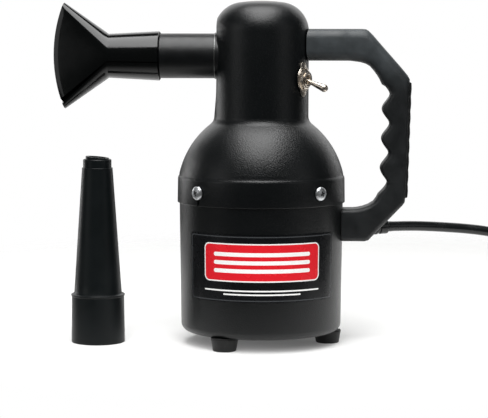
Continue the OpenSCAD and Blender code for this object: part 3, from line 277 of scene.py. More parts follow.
def new_verts(made):
    """The vertices among what an extrusion made."""
    return [v for v in made["geom"] if isinstance(v, bmesh.types.BMVert)]


def prism(points, depth, plane="XZ"):
    """A flat outline made solid, centred across its plane."""
    bm = outline(points, plane)
    face = bm.faces.new(bm.verts[:])
    across = Vector((0, 1, 0)) if plane == "XZ" else Vector((0, 0, 1))
    bmesh.ops.translate(bm, verts=bm.verts, vec=-across * depth / 2)
    made = bmesh.ops.extrude_face_region(bm, geom=[face])
    bmesh.ops.translate(bm, verts=new_verts(made), vec=across * depth)
    return tidy(bm)


def soften(bm, width, segments=2, sharper=30, where=lambda edge: True):
    """Rounds the edges whose faces meet at more than this angle."""
    least = math.radians(sharper)
    edges = [e for e in bm.edges if len(e.link_faces) == 2 and e.calc_face_angle(0) > least and where(e)]
    bmesh.ops.bevel(
        bm, geom=edges, offset=width, offset_type="OFFSET", segments=segments, profile=0.5,
        affect="EDGES", material=-1, clamp_overlap=True,
    )
    return bm


def lofted(rings, round_again=False):
    """A closed skin over rings of points: its ends are filled, or its last ring meets its first."""
    bm = bmesh.new()
    loops = []
    for ring in rings:
        verts = [bm.verts.new(p) for p in ring]
        loops.append([bm.edges.new((verts[i - 1], verts[i])) for i in range(len(verts))])
    for first, second in zip(loops, loops[1:]):
        bmesh.ops.bridge_loops(bm, edges=first + second)
    if round_again:
        bmesh.ops.bridge_loops(bm, edges=loops[-1] + loops[0])
    else:
        for loop in (loops[0], loops[-1]):
            bmesh.ops.contextual_create(bm, geom=loop)
    return tidy(bm, 1e-5)


def placed(bm, *matrices):
    """Moves a bmesh by one matrix after another."""
    for matrix in matrices:
        bmesh.ops.transform(bm, matrix=matrix, verts=bm.verts)
    return bm


def joined(*meshes):
    """Several bmeshes as one."""
    whole = bmesh.new()
    for bm in meshes:
        spare = bpy.data.meshes.new("spare")
        bm.to_mesh(spare)
        bm.free()
        whole.from_mesh(spare)
        bpy.data.meshes.remove(spare)
    return whole


def turn(axis, degrees):
    return Matrix.Rotation(math.radians(degrees), 4, axis)


def shift(x, y, z):
    return Matrix.Translation((x, y, z))


def on_wall(radius, azimuth, height):
    """Places a piece on a round wall, its +Z pointing outwards."""
    return turn("Z", azimuth) @ shift(radius, 0, height) @ turn("Y", 90)


def along_outlet(outlet):
    """Places a piece on the outlet's axis, its +Z pointing to the mouth."""
    return shift(0, 0, outlet.axis_z) @ turn("Y", -90)


def mesh_object(name, bm):
    """An object at the origin from a bmesh in millimetres."""
    bmesh.ops.scale(bm, vec=(MM, MM, MM), verts=bm.verts)
    mesh = bpy.data.meshes.new(name)
    bm.to_mesh(mesh)
    bm.free()
    made = bpy.data.objects.new(name, mesh)
    bpy.context.scene.collection.objects.link(made)
    return made


def discard(made):
    """Removes an object and its mesh."""
    mesh = made.data
    bpy.data.objects.remove(made)
    bpy.data.meshes.remove(mesh)


def as_bmesh(made):
    """Turns an object back into a bmesh in millimetres."""
    bm = bmesh.new()
    bm.from_mesh(made.data)
    bmesh.ops.scale(bm, vec=(1 / MM,) * 3, verts=bm.verts)
    discard(made)
    return bm


def cut_away(target, *cutters):
    """Takes the cutters' shapes, bmeshes in millimetres, out of an object."""
    for bm in cutters:
        tool = mesh_object("cutter", bm)
        modifier = target.modifiers.new("cut", "BOOLEAN")
        modifier.operation = "DIFFERENCE"
        modifier.solver = "EXACT"
        modifier.object = tool
        evaluated = target.evaluated_get(bpy.context.evaluated_depsgraph_get())
        cut = bpy.data.meshes.new_from_object(evaluated)
        target.modifiers.clear()
        old, target.data = target.data, cut
        bpy.data.meshes.remove(old)
        discard(tool)
    if not target.data.polygons:
        raise RuntimeError(f"nothing is left of {target.name} after its cuts")
    return target


def finished(made, material, body="blower", slot=None, replaces=(), sharp=32):
    """Gives a piece its finish and the body that it moves with."""
    if made.type == "MESH":
        made.data.materials.clear()
        made.data.polygons.foreach_set("use_smooth", [True] * len(made.data.polygons))
        made.data.set_sharp_from_angle(angle=math.radians(sharp))
        made.data.update()
    made.data.materials.append(material)
    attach(made, body)
    if replaces:
        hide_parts(*replaces)
    return made


def piece(name, bm, material, **rest):
    """A finished piece from a bmesh in millimetres."""
    return finished(mesh_object(name, bm), material, **rest)


def paint_node(node, material):
    """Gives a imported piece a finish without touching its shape."""
    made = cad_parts[node]
    if not made.material_slots:
        made.data.materials.append(material)
    for slot in made.material_slots:
        slot.material = material


# ---------------------------------------------------------------- materials


def add_node(owner, kind, inputs=None, **settings):
    """One node of a material or a world, with its settings, its values and the sockets that feed it."""
    tree = owner.node_tree
    made = tree.nodes.new("ShaderNode" + kind)
    for name, value in settings.items():
        setattr(made, name, value)
    for socket, value in (inputs or {}).items():
        if isinstance(value, bpy.types.NodeSocket):
            tree.links.new(value, made.inputs[socket])
        else:
            made.inputs[socket].default_value = value
    return made


def blank(name):
    """A material with no nodes yet."""
    material = bpy.data.materials.new(name)
    material.use_nodes = True
    material.node_tree.nodes.clear()
    return material


# Nearly all of a noise texture lies between these two values
NOISE_LOW, NOISE_HIGH = 0.3, 0.7


def per_mm(size):
    """Texture scale whose features are this many millimetres across, on Object coordinates."""
    return 1 / (size * MM)


def shade(base, factor=1.0):
    """A hex code or a linear colour, made lighter or darker."""
    rgb = hex_to_linear(base) if isinstance(base, str) else tuple(base)
    return (*[min(1.0, c * factor) for c in rgb], 1.0)


def set_ends(ramp, base, low, high):
    """Runs a colour ramp from one shade of a colour to another."""
    first, last = ramp.color_ramp.elements
    first.color, last.color = shade(base, low), shade(base, high)


def surface(
    name, base, rough, grain=0.6, depth=0.02, tone=0.12, rough_spread=0.06, blotch=18.0,
    stretch=(1, 1, 1), metallic=0.0, detail=3.0, over=None, shader=None, painted_highlight=None, painted_hollow_shade=0.0,
):
    """A finish with slow tone changes, patchy roughness and a fine relief.

    grain and blotch are real sizes in mm, and depth is the relief's height in mm. over adds a second relief
    as (size, depth). The last two arguments paint light and shade: the first, (low, high, factor), is a
    painted highlight that brightens the tone by that factor from the one height to the other; the last is
    painted shade, darkening the tone in hollows narrower than this many mm."""
    material = blank(name)
    place = add_node(material, "TexCoord").outputs["Object"]
    drawn = add_node(material, "Mapping", {"Vector": place, "Scale": stretch}).outputs["Vector"]
    slow = add_node(
        material, "TexNoise", {"Vector": place, "Scale": per_mm(blotch), "Detail": 4.0, "Roughness": 0.6}
    )
    fine = add_node(
        material, "TexNoise", {"Vector": drawn, "Scale": per_mm(grain), "Detail": detail, "Roughness": 0.55}
    )
    tint = add_node(material, "ValToRGB", {"Fac": slow.outputs["Fac"]})
    for element, value in zip(tint.color_ramp.elements, (NOISE_LOW, NOISE_HIGH)):
        element.position = value
    set_ends(tint, base, 1 - tone, 1 + tone)
    factors = []
    # Painted highlight: the tone brightens with height over the given band.
    if painted_highlight:
        low, high, factor = painted_highlight
        height = add_node(material, "SeparateXYZ", {"Vector": place}).outputs["Z"]
        factors.append(add_node(
            material, "MapRange",
            {"Value": height, "From Min": low * MM, "From Max": high * MM, "To Min": 1.0, "To Max": factor},
        ))
    # Painted shade: ambient occlusion darkens the tone in narrow hollows.
    if painted_hollow_shade:
        hollow = add_node(material, "AmbientOcclusion", {"Distance": painted_hollow_shade * MM}, samples=8)
        factors.append(add_node(
            material, "MapRange",
            {"Value": hollow.outputs["AO"], "From Min": 0.45, "From Max": 0.85, "To Min": 0.03},
        ))
    tone_out = tint.outputs["Color"]
    for factor in factors:
        scaled = add_node(
            material, "VectorMath", {0: tone_out, "Scale": factor.outputs["Result"]}, operation="SCALE"
        )
        tone_out = scaled.outputs["Vector"]
    dull = add_node(
        material, "MapRange",
        {"Value": slow.outputs["Fac"], "From Min": NOISE_LOW, "From Max": NOISE_HIGH,
         "To Min": rough - rough_spread, "To Max": rough + rough_spread},
    )
    relief = add_node(material, "Bump", {"Height": fine.outputs["Fac"], "Distance": depth * MM})
    if over:
        size, high = over
        wave = add_node(material, "TexNoise", {"Vector": place, "Scale": per_mm(size), "Detail": 1.0})
        relief = add_node(
            material, "Bump",
            {"Height": wave.outputs["Fac"], "Distance": high * MM, "Normal": relief.outputs["Normal"]},
        )
    body = add_node(
        material, "BsdfPrincipled",
        {"Base Color": tone_out, "Roughness": dull.outputs["Result"], "Normal": relief.outputs["Normal"],
         "Metallic": metallic, **(shader or {})},
    )
    add_node(material, "OutputMaterial", {"Surface": body.outputs["BSDF"]})
    return material


def powder_coat(colours):
    """Textured powder coat on sheet steel: a satin black whose fine pebble breaks up each highlight.

    The real pebble is about 0.3 mm across, too fine to show from here, so it is drawn at 1 mm."""
    return surface(
        "powder_coat_fine_texture", colours.powder_coat, 0.34, grain=1.0, depth=0.22, tone=0.1,
        rough_spread=0.03, blotch=30.0, over=(4.0, 0.02),
    )


def tube_paint(colours):
    """Satin enamel on the drawn outlet tube: smoother than the housing, with a faint orange peel.

    The real peel is about 0.5 mm across and is drawn at 0.9 mm so that it shows."""
    return surface(
        "satin_enamel_on_tube", colours.tube_paint, 0.38, grain=0.9, depth=0.04, tone=0.1,
        rough_spread=0.05, blotch=14.0, over=(5.0, 0.03),
    )


def handle_nylon(colours):
    """Glass-filled nylon, moulded: an even satin black with a spark-eroded grain and faint flow marks.

    The grain is drawn at 0.9 mm, coarser than the real 0.2 mm, and the upper arm is painted paler towards its
    top, a painted highlight."""
    # Painted highlight: the nylon's tone grows lighter from 196 mm up to 222 mm, over the upper arm.
    return surface(
        "moulded_glass_filled_nylon", colours.handle_nylon, 0.5, grain=0.9, depth=0.04, tone=0.3,
        rough_spread=0.08, blotch=14.0, stretch=(0.5, 1, 1), over=(9.0, 0.08),
        shader={"Specular IOR Level": 0.55}, painted_highlight=(196.0, 222.0, 4.6),
    )


def nozzle_polyethylene(colours):
    """Moulded polyethylene: waxy satin black that carries long faint draw marks from the mould."""
    return surface(
        "moulded_polyethylene", colours.nozzle_black, 0.42, grain=1.4, depth=0.02, tone=0.15,
        rough_spread=0.06, blotch=16.0, stretch=(1, 1, 0.12), over=(7.0, 0.04),
        shader={"Specular IOR Level": 0.3},
    )


def gloss_abs(colours):
    """Polished ABS straight from the mould: deep black and mirror-smooth, with a very slight waviness."""
    return surface(
        "polished_abs", colours.gloss_black, 0.13, grain=6.0, depth=0.012, tone=0.1,
        rough_spread=0.03, blotch=25.0, detail=1.0,
    )


def rubber(colours):
    """Moulded rubber: matt and slightly dusty, with a fine grain."""
    return surface(
        "moulded_rubber", colours.rubber, 0.62, grain=0.7, depth=0.03, tone=0.22,
        rough_spread=0.08, blotch=6.0, shader={"Specular IOR Level": 0.45, "Sheen Weight": 0.08},
    )


def cord_jacket(colours):
    """PVC mains jacket: soft satin black, its surface faintly rippled by the cores inside."""
    return surface(
        "pvc_cord_jacket", colours.jacket, 0.24, grain=1.2, depth=0.02, tone=0.15,
        rough_spread=0.06, blotch=20.0, over=(12.0, 0.08),
    )


def woven_webbing():
    """Woven nylon webbing: dull near-black with a raised weave and a soft edge of light.

    A thread is about 0.5 mm wide and the weave is drawn at 0.9 mm."""
    return surface(
        "woven_nylon_webbing", "202124", 0.75, grain=0.9, depth=0.12, tone=0.3, rough_spread=0.08,
        blotch=4.0, shader={"Sheen Weight": 0.25},
    )


def plated(name, base, rough, painted_hollow_shade=0.0):
    """Bright plating on a turned or pressed piece: fine tool marks and clouds of slightly duller metal."""
    # Shade can be painted into the piece's hollows, darkening the plating there.
    return surface(
        name, base, rough, grain=0.6, depth=0.006, tone=0.12, rough_spread=0.07,
        blotch=3.0, metallic=1.0, detail=2.0, painted_hollow_shade=painted_hollow_shade,
    )


def label_film(colours, width, height):
    """Polycarbonate film, printed: a satin black ground with a red panel, white lines and stripes.

    The piece's UV map is in millimetres from the middle of the label."""
    film = blank("printed_polycarbonate_film")
    where = add_node(film, "UVMap", uv_map="label_mm").outputs["UV"]
    place = add_node(film, "TexCoord").outputs["Object"]
    slow = add_node(film, "TexNoise", {"Vector": place, "Scale": per_mm(12.0), "Detail": 3.0})
    ground = add_node(film, "ValToRGB", {"Fac": slow.outputs["Fac"]})
    set_ends(ground, colours.label_black, 0.85, 1.15)
    red = add_node(film, "ValToRGB", {"Fac": slow.outputs["Fac"]})
    set_ends(red, colours.label_red, 0.9, 1.05)
    grey, white = shade(colours.label_grey), shade(colours.label_white)
    line_out, line_in, key = 0.9, 1.7, 0.9
    panel_y, panel_w, panel_h, corner = 4.6, 46.0, 13.6, 3.5
    stripe_w, stripe_h, stripe_pitch = 38.0, 1.5, 6.2
    # Printed boxes, each over the last: middle's height, half width, half height, corner radius and ink
    boxes = [
        (0.0, width / 2 - line_out, height / 2 - line_out, 2.4, grey),
        (0.0, width / 2 - line_in, height / 2 - line_in, 1.8, ground.outputs["Color"]),
        (panel_y, panel_w + key, panel_h + key, corner + key, white),
        (panel_y, panel_w, panel_h, corner, red.outputs["Color"]),
    ]
    boxes += [(panel_y + k * stripe_pitch, stripe_w, stripe_h, 1.4, white) for k in (1, 0, -1)]
    boxes += [(-16.6, 46.9, 0.55, 0.5, white), (-19.4, 30.0, 0.55, 0.5, white)]
    soft_edge = 0.06
    ink_out = ground.outputs["Color"]
    for middle, half_w, half_h, round_r, ink in boxes:
        moved = add_node(film, "VectorMath", {0: where, 1: (0, middle, 0)}, operation="SUBTRACT")
        folded = add_node(film, "VectorMath", {0: moved.outputs["Vector"]}, operation="ABSOLUTE")
        straight = (half_w - round_r, half_h - round_r, 0)
        past = add_node(film, "VectorMath", {0: folded.outputs["Vector"], 1: straight}, operation="SUBTRACT")
        outside = add_node(film, "VectorMath", {0: past.outputs["Vector"], 1: (0, 0, 0)}, operation="MAXIMUM")
        far = add_node(film, "VectorMath", {0: outside.outputs["Vector"]}, operation="LENGTH")
        mask = add_node(
            film, "MapRange",
            {"Value": far.outputs["Value"], "From Min": round_r - soft_edge, "From Max": round_r + soft_edge,
             "To Min": 1.0, "To Max": 0.0},
        )
        inks = {"Factor": mask.outputs["Result"], "A": ink_out, "B": ink}
        ink_out = add_node(film, "Mix", inks, data_type="RGBA").outputs["Result"]
    fine = add_node(film, "TexNoise", {"Vector": place, "Scale": per_mm(0.8), "Detail": 2.0})
    relief = add_node(film, "Bump", {"Height": fine.outputs["Fac"], "Distance": 0.012 * MM})
    dull = add_node(film, "MapRange", {"Value": slow.outputs["Fac"], "To Min": 0.22, "To Max": 0.32})
    body = add_node(
        film, "BsdfPrincipled",
        {"Base Color": ink_out, "Roughness": dull.outputs["Result"], "Normal": relief.outputs["Normal"]},
    )
    add_node(film, "OutputMaterial", {"Surface": body.outputs["BSDF"]})
    return film


# ---------------------------------------------------------------- stage


# The paper's radius in mm, its own faint light, and the clouds of its tone, per metre
FLOOR_R, FLOOR_GLOW, FLOOR_CLOUDS = 1600.0, 0.1, 3.0
# Where the paper is whole, and over which distances from there it fades, in metres
FADE_CENTRE, FADE_START, FADE_END = (0.08, 0.3, 0.0), 0.3, 0.56
# Softboxes: size, power in watts, place and the point that they face, in metres
LIGHTS = (
    ("overhead_softbox", (0.8, 1.25), 18.0, (0.0, -0.33, 1.15), (0.0, -0.33, 0.0)),
    ("rear_wall", (3.0, 1.4), 18.0, (0.0, 1.7, 1.05), (0.0, 0.0, 0.3)),
    ("left_strip", (0.3, 0.5), 1.7, (-0.95, 0.65, 0.22), (0.0, 0.0, 0.12)),
    ("right_strip", (0.3, 0.5), 0.7, (0.8, 1.0, 0.2), (0.0, 0.0, 0.1)),
    ("left_card", (0.6, 0.8), 1.2, (-1.2, -0.7, 0.45), (0.0, 0.0, 0.2)),
    ("right_card", (0.6, 0.8), 0.7, (1.2, -0.7, 0.45), (0.0, 0.0, 0.2)),
)
# A front fill that lights the floor and the printed film but leaves no reflection
FILL = ("front_fill", (2.0, 1.5), 48.0, (0.0, -1.8, 1.3), (0.0, 0.0, 0.1))
# Camera: millimetres from the blower's axis, degrees, and the lens in mm on a 36 mm sensor
CAMERA = SimpleNamespace(
    distance=1450.0, height=240.0, across=-13.38, azimuth=2.668, pitch=5.353, roll=0.075,
    sensor=36.0, lens=137.9,
)


class BLOWER_OT_stage(Operator):
    """Pale floor, soft studio lights and the camera"""

    bl_idname = "blower.stage"
    bl_label = "Stage"

    def execute(self, context):
        scene = context.scene
        scene.view_settings.view_transform = "Standard"
        self.floor(scene.blower_colours)
        self.lights(scene)
        self.surround(scene)
        self.camera(scene)
        return {"FINISHED"}

    def floor(self, colours):
        """A wide disc of matt paper whose rim fades into the white surround."""
        bm = bmesh.new()
        bmesh.ops.create_circle(bm, cap_ends=True, radius=FLOOR_R, segments=96)
        paper = blank("matt_background_paper")
        place = add_node(paper, "TexCoord").outputs["Object"]
        spread = add_node(paper, "TexNoise", {"Vector": place, "Scale": FLOOR_CLOUDS})
        tone = add_node(paper, "ValToRGB", {"Fac": spread.outputs["Fac"]})
        set_ends(tone, colours.floor, 0.99, 1.0)
        lit = add_node(paper, "BsdfDiffuse", {"Color": tone.outputs["Color"]})
        glow = add_node(paper, "Emission", {"Color": (1, 1, 1, 1), "Strength": FLOOR_GLOW})
        both = add_node(paper, "AddShader", {0: lit.outputs[0], 1: glow.outputs[0]})
        centre = add_node(paper, "VectorMath", {0: place, 1: FADE_CENTRE}, operation="DISTANCE")
        fade = add_node(
            paper, "MapRange",
            {"Value": centre.outputs["Value"], "From Min": FADE_START, "From Max": FADE_END},
            interpolation_type="SMOOTHSTEP",
        )
        clear = add_node(paper, "BsdfTransparent")
        edge = add_node(
            paper, "MixShader", {0: fade.outputs["Result"], 1: both.outputs[0], 2: clear.outputs[0]}
        )
        add_node(paper, "OutputMaterial", {"Surface": edge.outputs[0]})
        made = mesh_object("studio_floor", bm)
        made.data.materials.append(paper)

    def lights(self, scene):
        """Rectangular softboxes that the camera does not see."""
        for name, (width, depth), power, spot, aim in LIGHTS + (FILL,):
            light = bpy.data.lights.new(name, "AREA")
            light.shape = "RECTANGLE"
            light.size, light.size_y = width, depth
            light.energy = power
            made = bpy.data.objects.new(name, light)
            made.location = spot
            made.rotation_euler = (Vector(aim) - Vector(spot)).to_track_quat("-Z", "Y").to_euler()
            made.visible_camera = False
            made.visible_glossy = name != FILL[0]
            scene.collection.objects.link(made)

    def surround(self, scene):
        """A white surround that the camera sees, and a dim one that the pieces are lit by."""
        world = bpy.data.worlds.new("studio")
        world.use_nodes = True
        world.node_tree.nodes.clear()
        seen = add_node(world, "Background", {"Color": (1, 1, 1, 1), "Strength": 1.0})
        lit = add_node(world, "Background", {"Color": (1, 1, 1, 1), "Strength": 0.03})
        path = add_node(world, "LightPath")
        pick = add_node(
            world, "MixShader", {0: path.outputs["Is Camera Ray"], 1: lit.outputs[0], 2: seen.outputs[0]}
        )
        add_node(world, "OutputWorld", {"Surface": pick.outputs[0]})
        scene.world = world

    def camera(self, scene):
        """A long lens, level with the dome and tilted down a little."""
        azimuth, tilt, lean = (math.radians(a) for a in (CAMERA.azimuth, CAMERA.pitch, CAMERA.roll))
        sine, cosine = math.sin(azimuth), math.cos(azimuth)
        ahead = Vector((-sine * math.cos(tilt), cosine * math.cos(tilt), -math.sin(tilt)))
        level = Vector((cosine, sine, 0))
        upright = level.cross(ahead)
        right = level * math.cos(lean) + upright * math.sin(lean)
        up = upright * math.cos(lean) - level * math.sin(lean)
        lens = bpy.data.cameras.new("camera")
        lens.sensor_width, lens.lens = CAMERA.sensor, CAMERA.lens
        lens.clip_start, lens.clip_end = 0.05, 100.0
        made = bpy.data.objects.new("camera", lens)
        spot = Vector((CAMERA.across + CAMERA.distance * sine, -CAMERA.distance * cosine, CAMERA.height)) * MM
        made.matrix_world = Matrix.Translation(spot) @ Matrix((right, up, -ahead)).transposed().to_4x4()
        scene.collection.objects.link(made)
        scene.camera = made


# ---------------------------------------------------------------- cord


CORD_ROUTE = (
    (102.4, 47.8, 86.4), (117, 54.6, 86.1), (132, 60.6, 85.3), (148, 65.2, 84.1), (163, 68.2, 82.8),
    (178, 70, 81), (192, 70.4, 78.4), (205.5, 69.8, 74.4), (218, 68.2, 68.6), (229, 65.8, 61),
    (239, 62.8, 52), (248.5, 59.4, 42.2), (258, 55.8, 32.4), (268, 52.2, 23.2), (279, 49, 15.2),
    (291.5, 46.4, 9), (304, 44.8, 5.6), (314, 44.5, 5), (320, 44.5, 5),
)
COIL_CENTRE = (328.0, -13.25)
COIL_MIDDLE_R, COIL_LIFT, COIL_GAP = 45.0, 1.0, 0.5
COIL_LAYERS, LAYER_TURNS, LOOP_RINGS = 4, 3, 24
# Shares of a turn in which the cord climbs to the next layer, and off the last one
LAYER_CLIMB, LAST_CLIMB = 0.5, 0.24
TAIL_R, TAIL_STEPS = 33.0, 9
PLUG_THICKNESS, PLUG_WIDTH, PLUG_LENGTH, PLUG_NECK = 22.0, 27.0, 36.0, 20.0


def coil_points(cord_d):
    """Points of the stored coil: turns side by side in layers, then a tail that climbs to the plug on top."""
    wrap = cord_d + COIL_GAP
    inner = COIL_MIDDLE_R - wrap * LAYER_TURNS / 2
    turns = COIL_LAYERS * LAYER_TURNS - 0.5
    lowest = cord_d / 2 + COIL_LIFT

    def point(u):
        r = inner + wrap * abs(LAYER_TURNS - u % (2 * LAYER_TURNS))
        climb = smooth_step((u - turns + LAST_CLIMB) / LAST_CLIMB)
        for k in range(1, COIL_LAYERS):
            climb += smooth_step((u - k * LAYER_TURNS) / LAYER_CLIMB + 0.5)
        x, y = polar(r, 90 - 360 * u)
        return Vector((COIL_CENTRE[0] + x, COIL_CENTRE[1] + y, lowest + wrap * climb))

    top = lowest + (COIL_LAYERS - 1) * wrap + cord_d / 2
    plug_z = top + 0.1 + PLUG_THICKNESS / 2
    end = point(turns)
    tail_x, tail_y = end.x, end.y + TAIL_R
    points = [point(0) - Vector((cord_d, 0, 0))]
    points += [point(i / LOOP_RINGS) for i in range(int(turns * LOOP_RINGS) + 1)]
    for i in range(1, TAIL_STEPS + 1):
        x, y = polar(TAIL_R, 90 + 180 * i / TAIL_STEPS)
        z = end.z + (plug_z - end.z) * smooth_step(i / TAIL_STEPS)
        points.append(Vector((tail_x + x, tail_y - y, z)))
    points.append(Vector((tail_x + cord_d, tail_y + TAIL_R, plug_z)))
    return points


class BLOWER_OT_cord(Operator):
    """Mains cord with its strain relief, coil, tie and plug"""

    bl_idname = "blower.cord"
    bl_label = "Cord"

    def execute(self, context):
        sizes, colours = measured(context.scene.blower_cord), context.scene.blower_colours
        jacket = cord_jacket(colours)
        points = [Vector(p) for p in CORD_ROUTE] + coil_points(sizes.cord_d)
        curve = bpy.data.curves.new("cord", "CURVE")
        curve.dimensions = "3D"
        curve.bevel_depth = sizes.cord_d / 2 * MM
        curve.bevel_resolution, curve.resolution_u = 4, 3
        curve.use_fill_caps = True
        spline = curve.splines.new("BEZIER")
        spline.bezier_points.add(len(points) - 1)
        for knot, point in zip(spline.bezier_points, points):
            knot.co = point * MM
            knot.handle_left_type = knot.handle_right_type = "AUTO"
        cord = bpy.data.objects.new("cord", curve)
        context.scene.collection.objects.link(cord)
        finished(cord, jacket, slot="cord_jacket", replaces=("cord_free", "cord_coil"))
        self.boot(sizes, jacket)
        plug = self.plug(points[-1], jacket)
        tie = self.tie(sizes)
        return {"FINISHED"}

    def boot(self, sizes, jacket):
        """Tapered strain relief with a collar on the canister and rings cut to let it bend."""
        cord_r, end = sizes.cord_d / 2, sizes.boot_len
        core = cord_r + 0.9
        ribs, rib, pitch, first, widest, taper, edge = 8, 1.9, 4.3, 5.0, 7.4, 1.5, 0.3
        profile = [(0.0, -7.0), (7.0, -7.0), (7.0, 0.5), (9.4, 0.5), (9.4, 3.0), (8.8, 3.6)]
        for k in range(ribs):
            low = first + k * pitch
            high = low + rib
            r = widest - taper * k / ribs
            profile += [(core, low), (r - edge, low), (r, low + edge)]
            profile += [(r, high - edge), (r - edge, high), (core, high)]
        low = first + ribs * pitch
        profile += [(core, low), (5.5, low), (5.8, low + 0.4), (5.6, low + 6.3), (5.0, low + 7.0)]
        profile += [(cord_r + 0.15, low + 7.3), (cord_r + 0.12, end), (0.0, end)]
        place = on_wall(sizes.gland_r, sizes.gland_az, sizes.gland_z)
        bm = placed(spun(profile, closed=False, steps=48), place)
        piece("cord_strain_relief", bm, jacket, slot="cord_jacket", replaces=("strain_relief",))

    def plug(self, start, jacket):
        """Moulded plug: rounded body with finger ribs, and a ringed neck."""
        profile = [(0, 0.02), (5.2, 0.02), (5.6, 0.6)]
        for k in range(4):
            r, z = 4.9 + 0.45 * k, 2.8 + 4 * k
            profile += [(r + 0.9, z - 0.2), (r, z), (r, z + 1.2), (r + 1.0, z + 1.4)]
        profile += [(7.6, PLUG_NECK - 0.4), (7.6, PLUG_NECK + 1), (0, PLUG_NECK + 1)]
        neck = placed(spun(profile, closed=False, steps=40), turn("Y", 90))
        body = box((PLUG_LENGTH, PLUG_WIDTH, PLUG_THICKNESS))
        soften(body, 5.6, segments=6, where=lambda e: abs((e.verts[0].co - e.verts[1].co).x) > 1)
        soften(body, 1.2, segments=3, sharper=60)
        placed(body, shift(PLUG_NECK + PLUG_LENGTH / 2, 0, 0))
        side_y = PLUG_WIDTH / 2 - 0.1
        ribs = joined(*[
            box((1.6, 0.8, 13), (PLUG_NECK + 7 + 4.2 * k, side * side_y, 0))
            for side in (-1, 1) for k in range(5)
        ])
        bmesh.ops.bevel(
            ribs, geom=ribs.edges[:], offset=0.3, segments=2, profile=0.5, affect="EDGES", material=-1
        )
        whole = placed(joined(neck, body, ribs), shift(*start))
        return piece("moulded_plug", whole, jacket, slot="cord_jacket", replaces=("plug_body",))

    def tie(self, sizes):
        """Woven strap round the whole bundle."""
        wrap = sizes.cord_d + COIL_GAP
        clear, thick, wide, round_r = 0.3, 0.8, 14.0, 5.0
        half = wrap * LAYER_TURNS / 2 + sizes.cord_d / 2 + clear
        left, right = COIL_MIDDLE_R - half + round_r, COIL_MIDDLE_R + half - round_r
        bottom = COIL_LIFT - clear / 2 + round_r
        top = COIL_LIFT + sizes.cord_d + (COIL_LAYERS - 1) * wrap + clear - round_r
        loop = []
        for k, centre in enumerate(((right, top), (left, top), (left, bottom), (right, bottom))):
            loop += arc(centre, round_r + thick / 2, 90 * k, 90 * (k + 1), 8)
        bm = outline(loop)
        made = bmesh.ops.extrude_edge_only(bm, edges=bm.edges[:])
        bmesh.ops.translate(bm, verts=new_verts(made), vec=(0, wide, 0))
        bmesh.ops.translate(bm, verts=bm.verts, vec=(0, -wide / 2, 0))
        bmesh.ops.recalc_face_normals(bm, faces=bm.faces)
        bmesh.ops.solidify(bm, geom=bm.faces[:], thickness=thick * 0.9)
        placed(bm, turn("Z", 165), shift(*COIL_CENTRE, 0))
        return piece("cord_tie_strap", bm, woven_webbing(), slot="tie_strap", replaces=("cord_tie",))


# ---------------------------------------------------------------- housing


FOOT_DIRECTIONS = {"front": -120, "right": 0, "rear": 120}


def shoulder_profile(h, grow=0.0):
    """Outer line of the housing h from the skirt's edge to the dome's top, or a line outside it."""
    shoulder_z = h.crease_z + 1.5
    centre = (h.start_r - math.sqrt(h.shoulder_r**2 - h.shoulder_drop**2), shoulder_z - h.shoulder_drop)
    fillet_x = h.neck_r + h.fillet_r
    rise = math.sqrt((h.shoulder_r + h.fillet_r) ** 2 - (fillet_x - centre[0]) ** 2)
    fillet = (fillet_x, centre[1] + rise)
    meet = math.degrees(math.atan2(rise, fillet_x - centre[0]))
    start = math.degrees(math.asin(h.shoulder_drop / h.shoulder_r))
    # The dome's crown is a shallow arc that meets its round edge at this angle
    crown_a = 8.0
    edge_x = h.neck_r - h.dome_edge_r
    crown_r = h.dome_edge_r + edge_x / math.sin(math.radians(crown_a))
    edge_z = h.dome_z - crown_r + (crown_r - h.dome_edge_r) * math.cos(math.radians(crown_a))
    return (
        arc((h.skirt_r - 0.5, h.skirt_z + 0.5), 0.5 + grow, -90, 0, 3)
        + arc((h.skirt_r - 4.3, h.crease_z - 2.8), 4.0 + grow, 0, 42, 8)
        + [(h.start_r + grow, shoulder_z + 0.2)]
        + arc(centre, h.shoulder_r + grow, start + 0.8, meet, 30)[1:]
        + arc(fillet, h.fillet_r - grow, meet + 180, 180, 10)[1:]
        + [(h.neck_r + grow, z) for z in (200.0, 215.0, 230.0)]
        + arc((edge_x, edge_z), h.dome_edge_r + grow, 0, 90 - crown_a, 24)
        + arc((0, h.dome_z - crown_r), crown_r + grow, 90 - crown_a * 0.8, 90, 5)
    )


def press_pad(bm, h, outlet_z):
    """Presses the flat pad for the outlet into the left side of the neck, running out below it."""
    low, run = outlet_z - h.pad_drop, 21.0
    for v in bm.verts:
        if v.co.z > low - run:
            run_out = max(0.0, (low - v.co.z) / run)
            limit = h.pad_x + (h.neck_r + 0.4 - h.pad_x) * run_out
            v.co.x = max(v.co.x, -limit)
    return bm


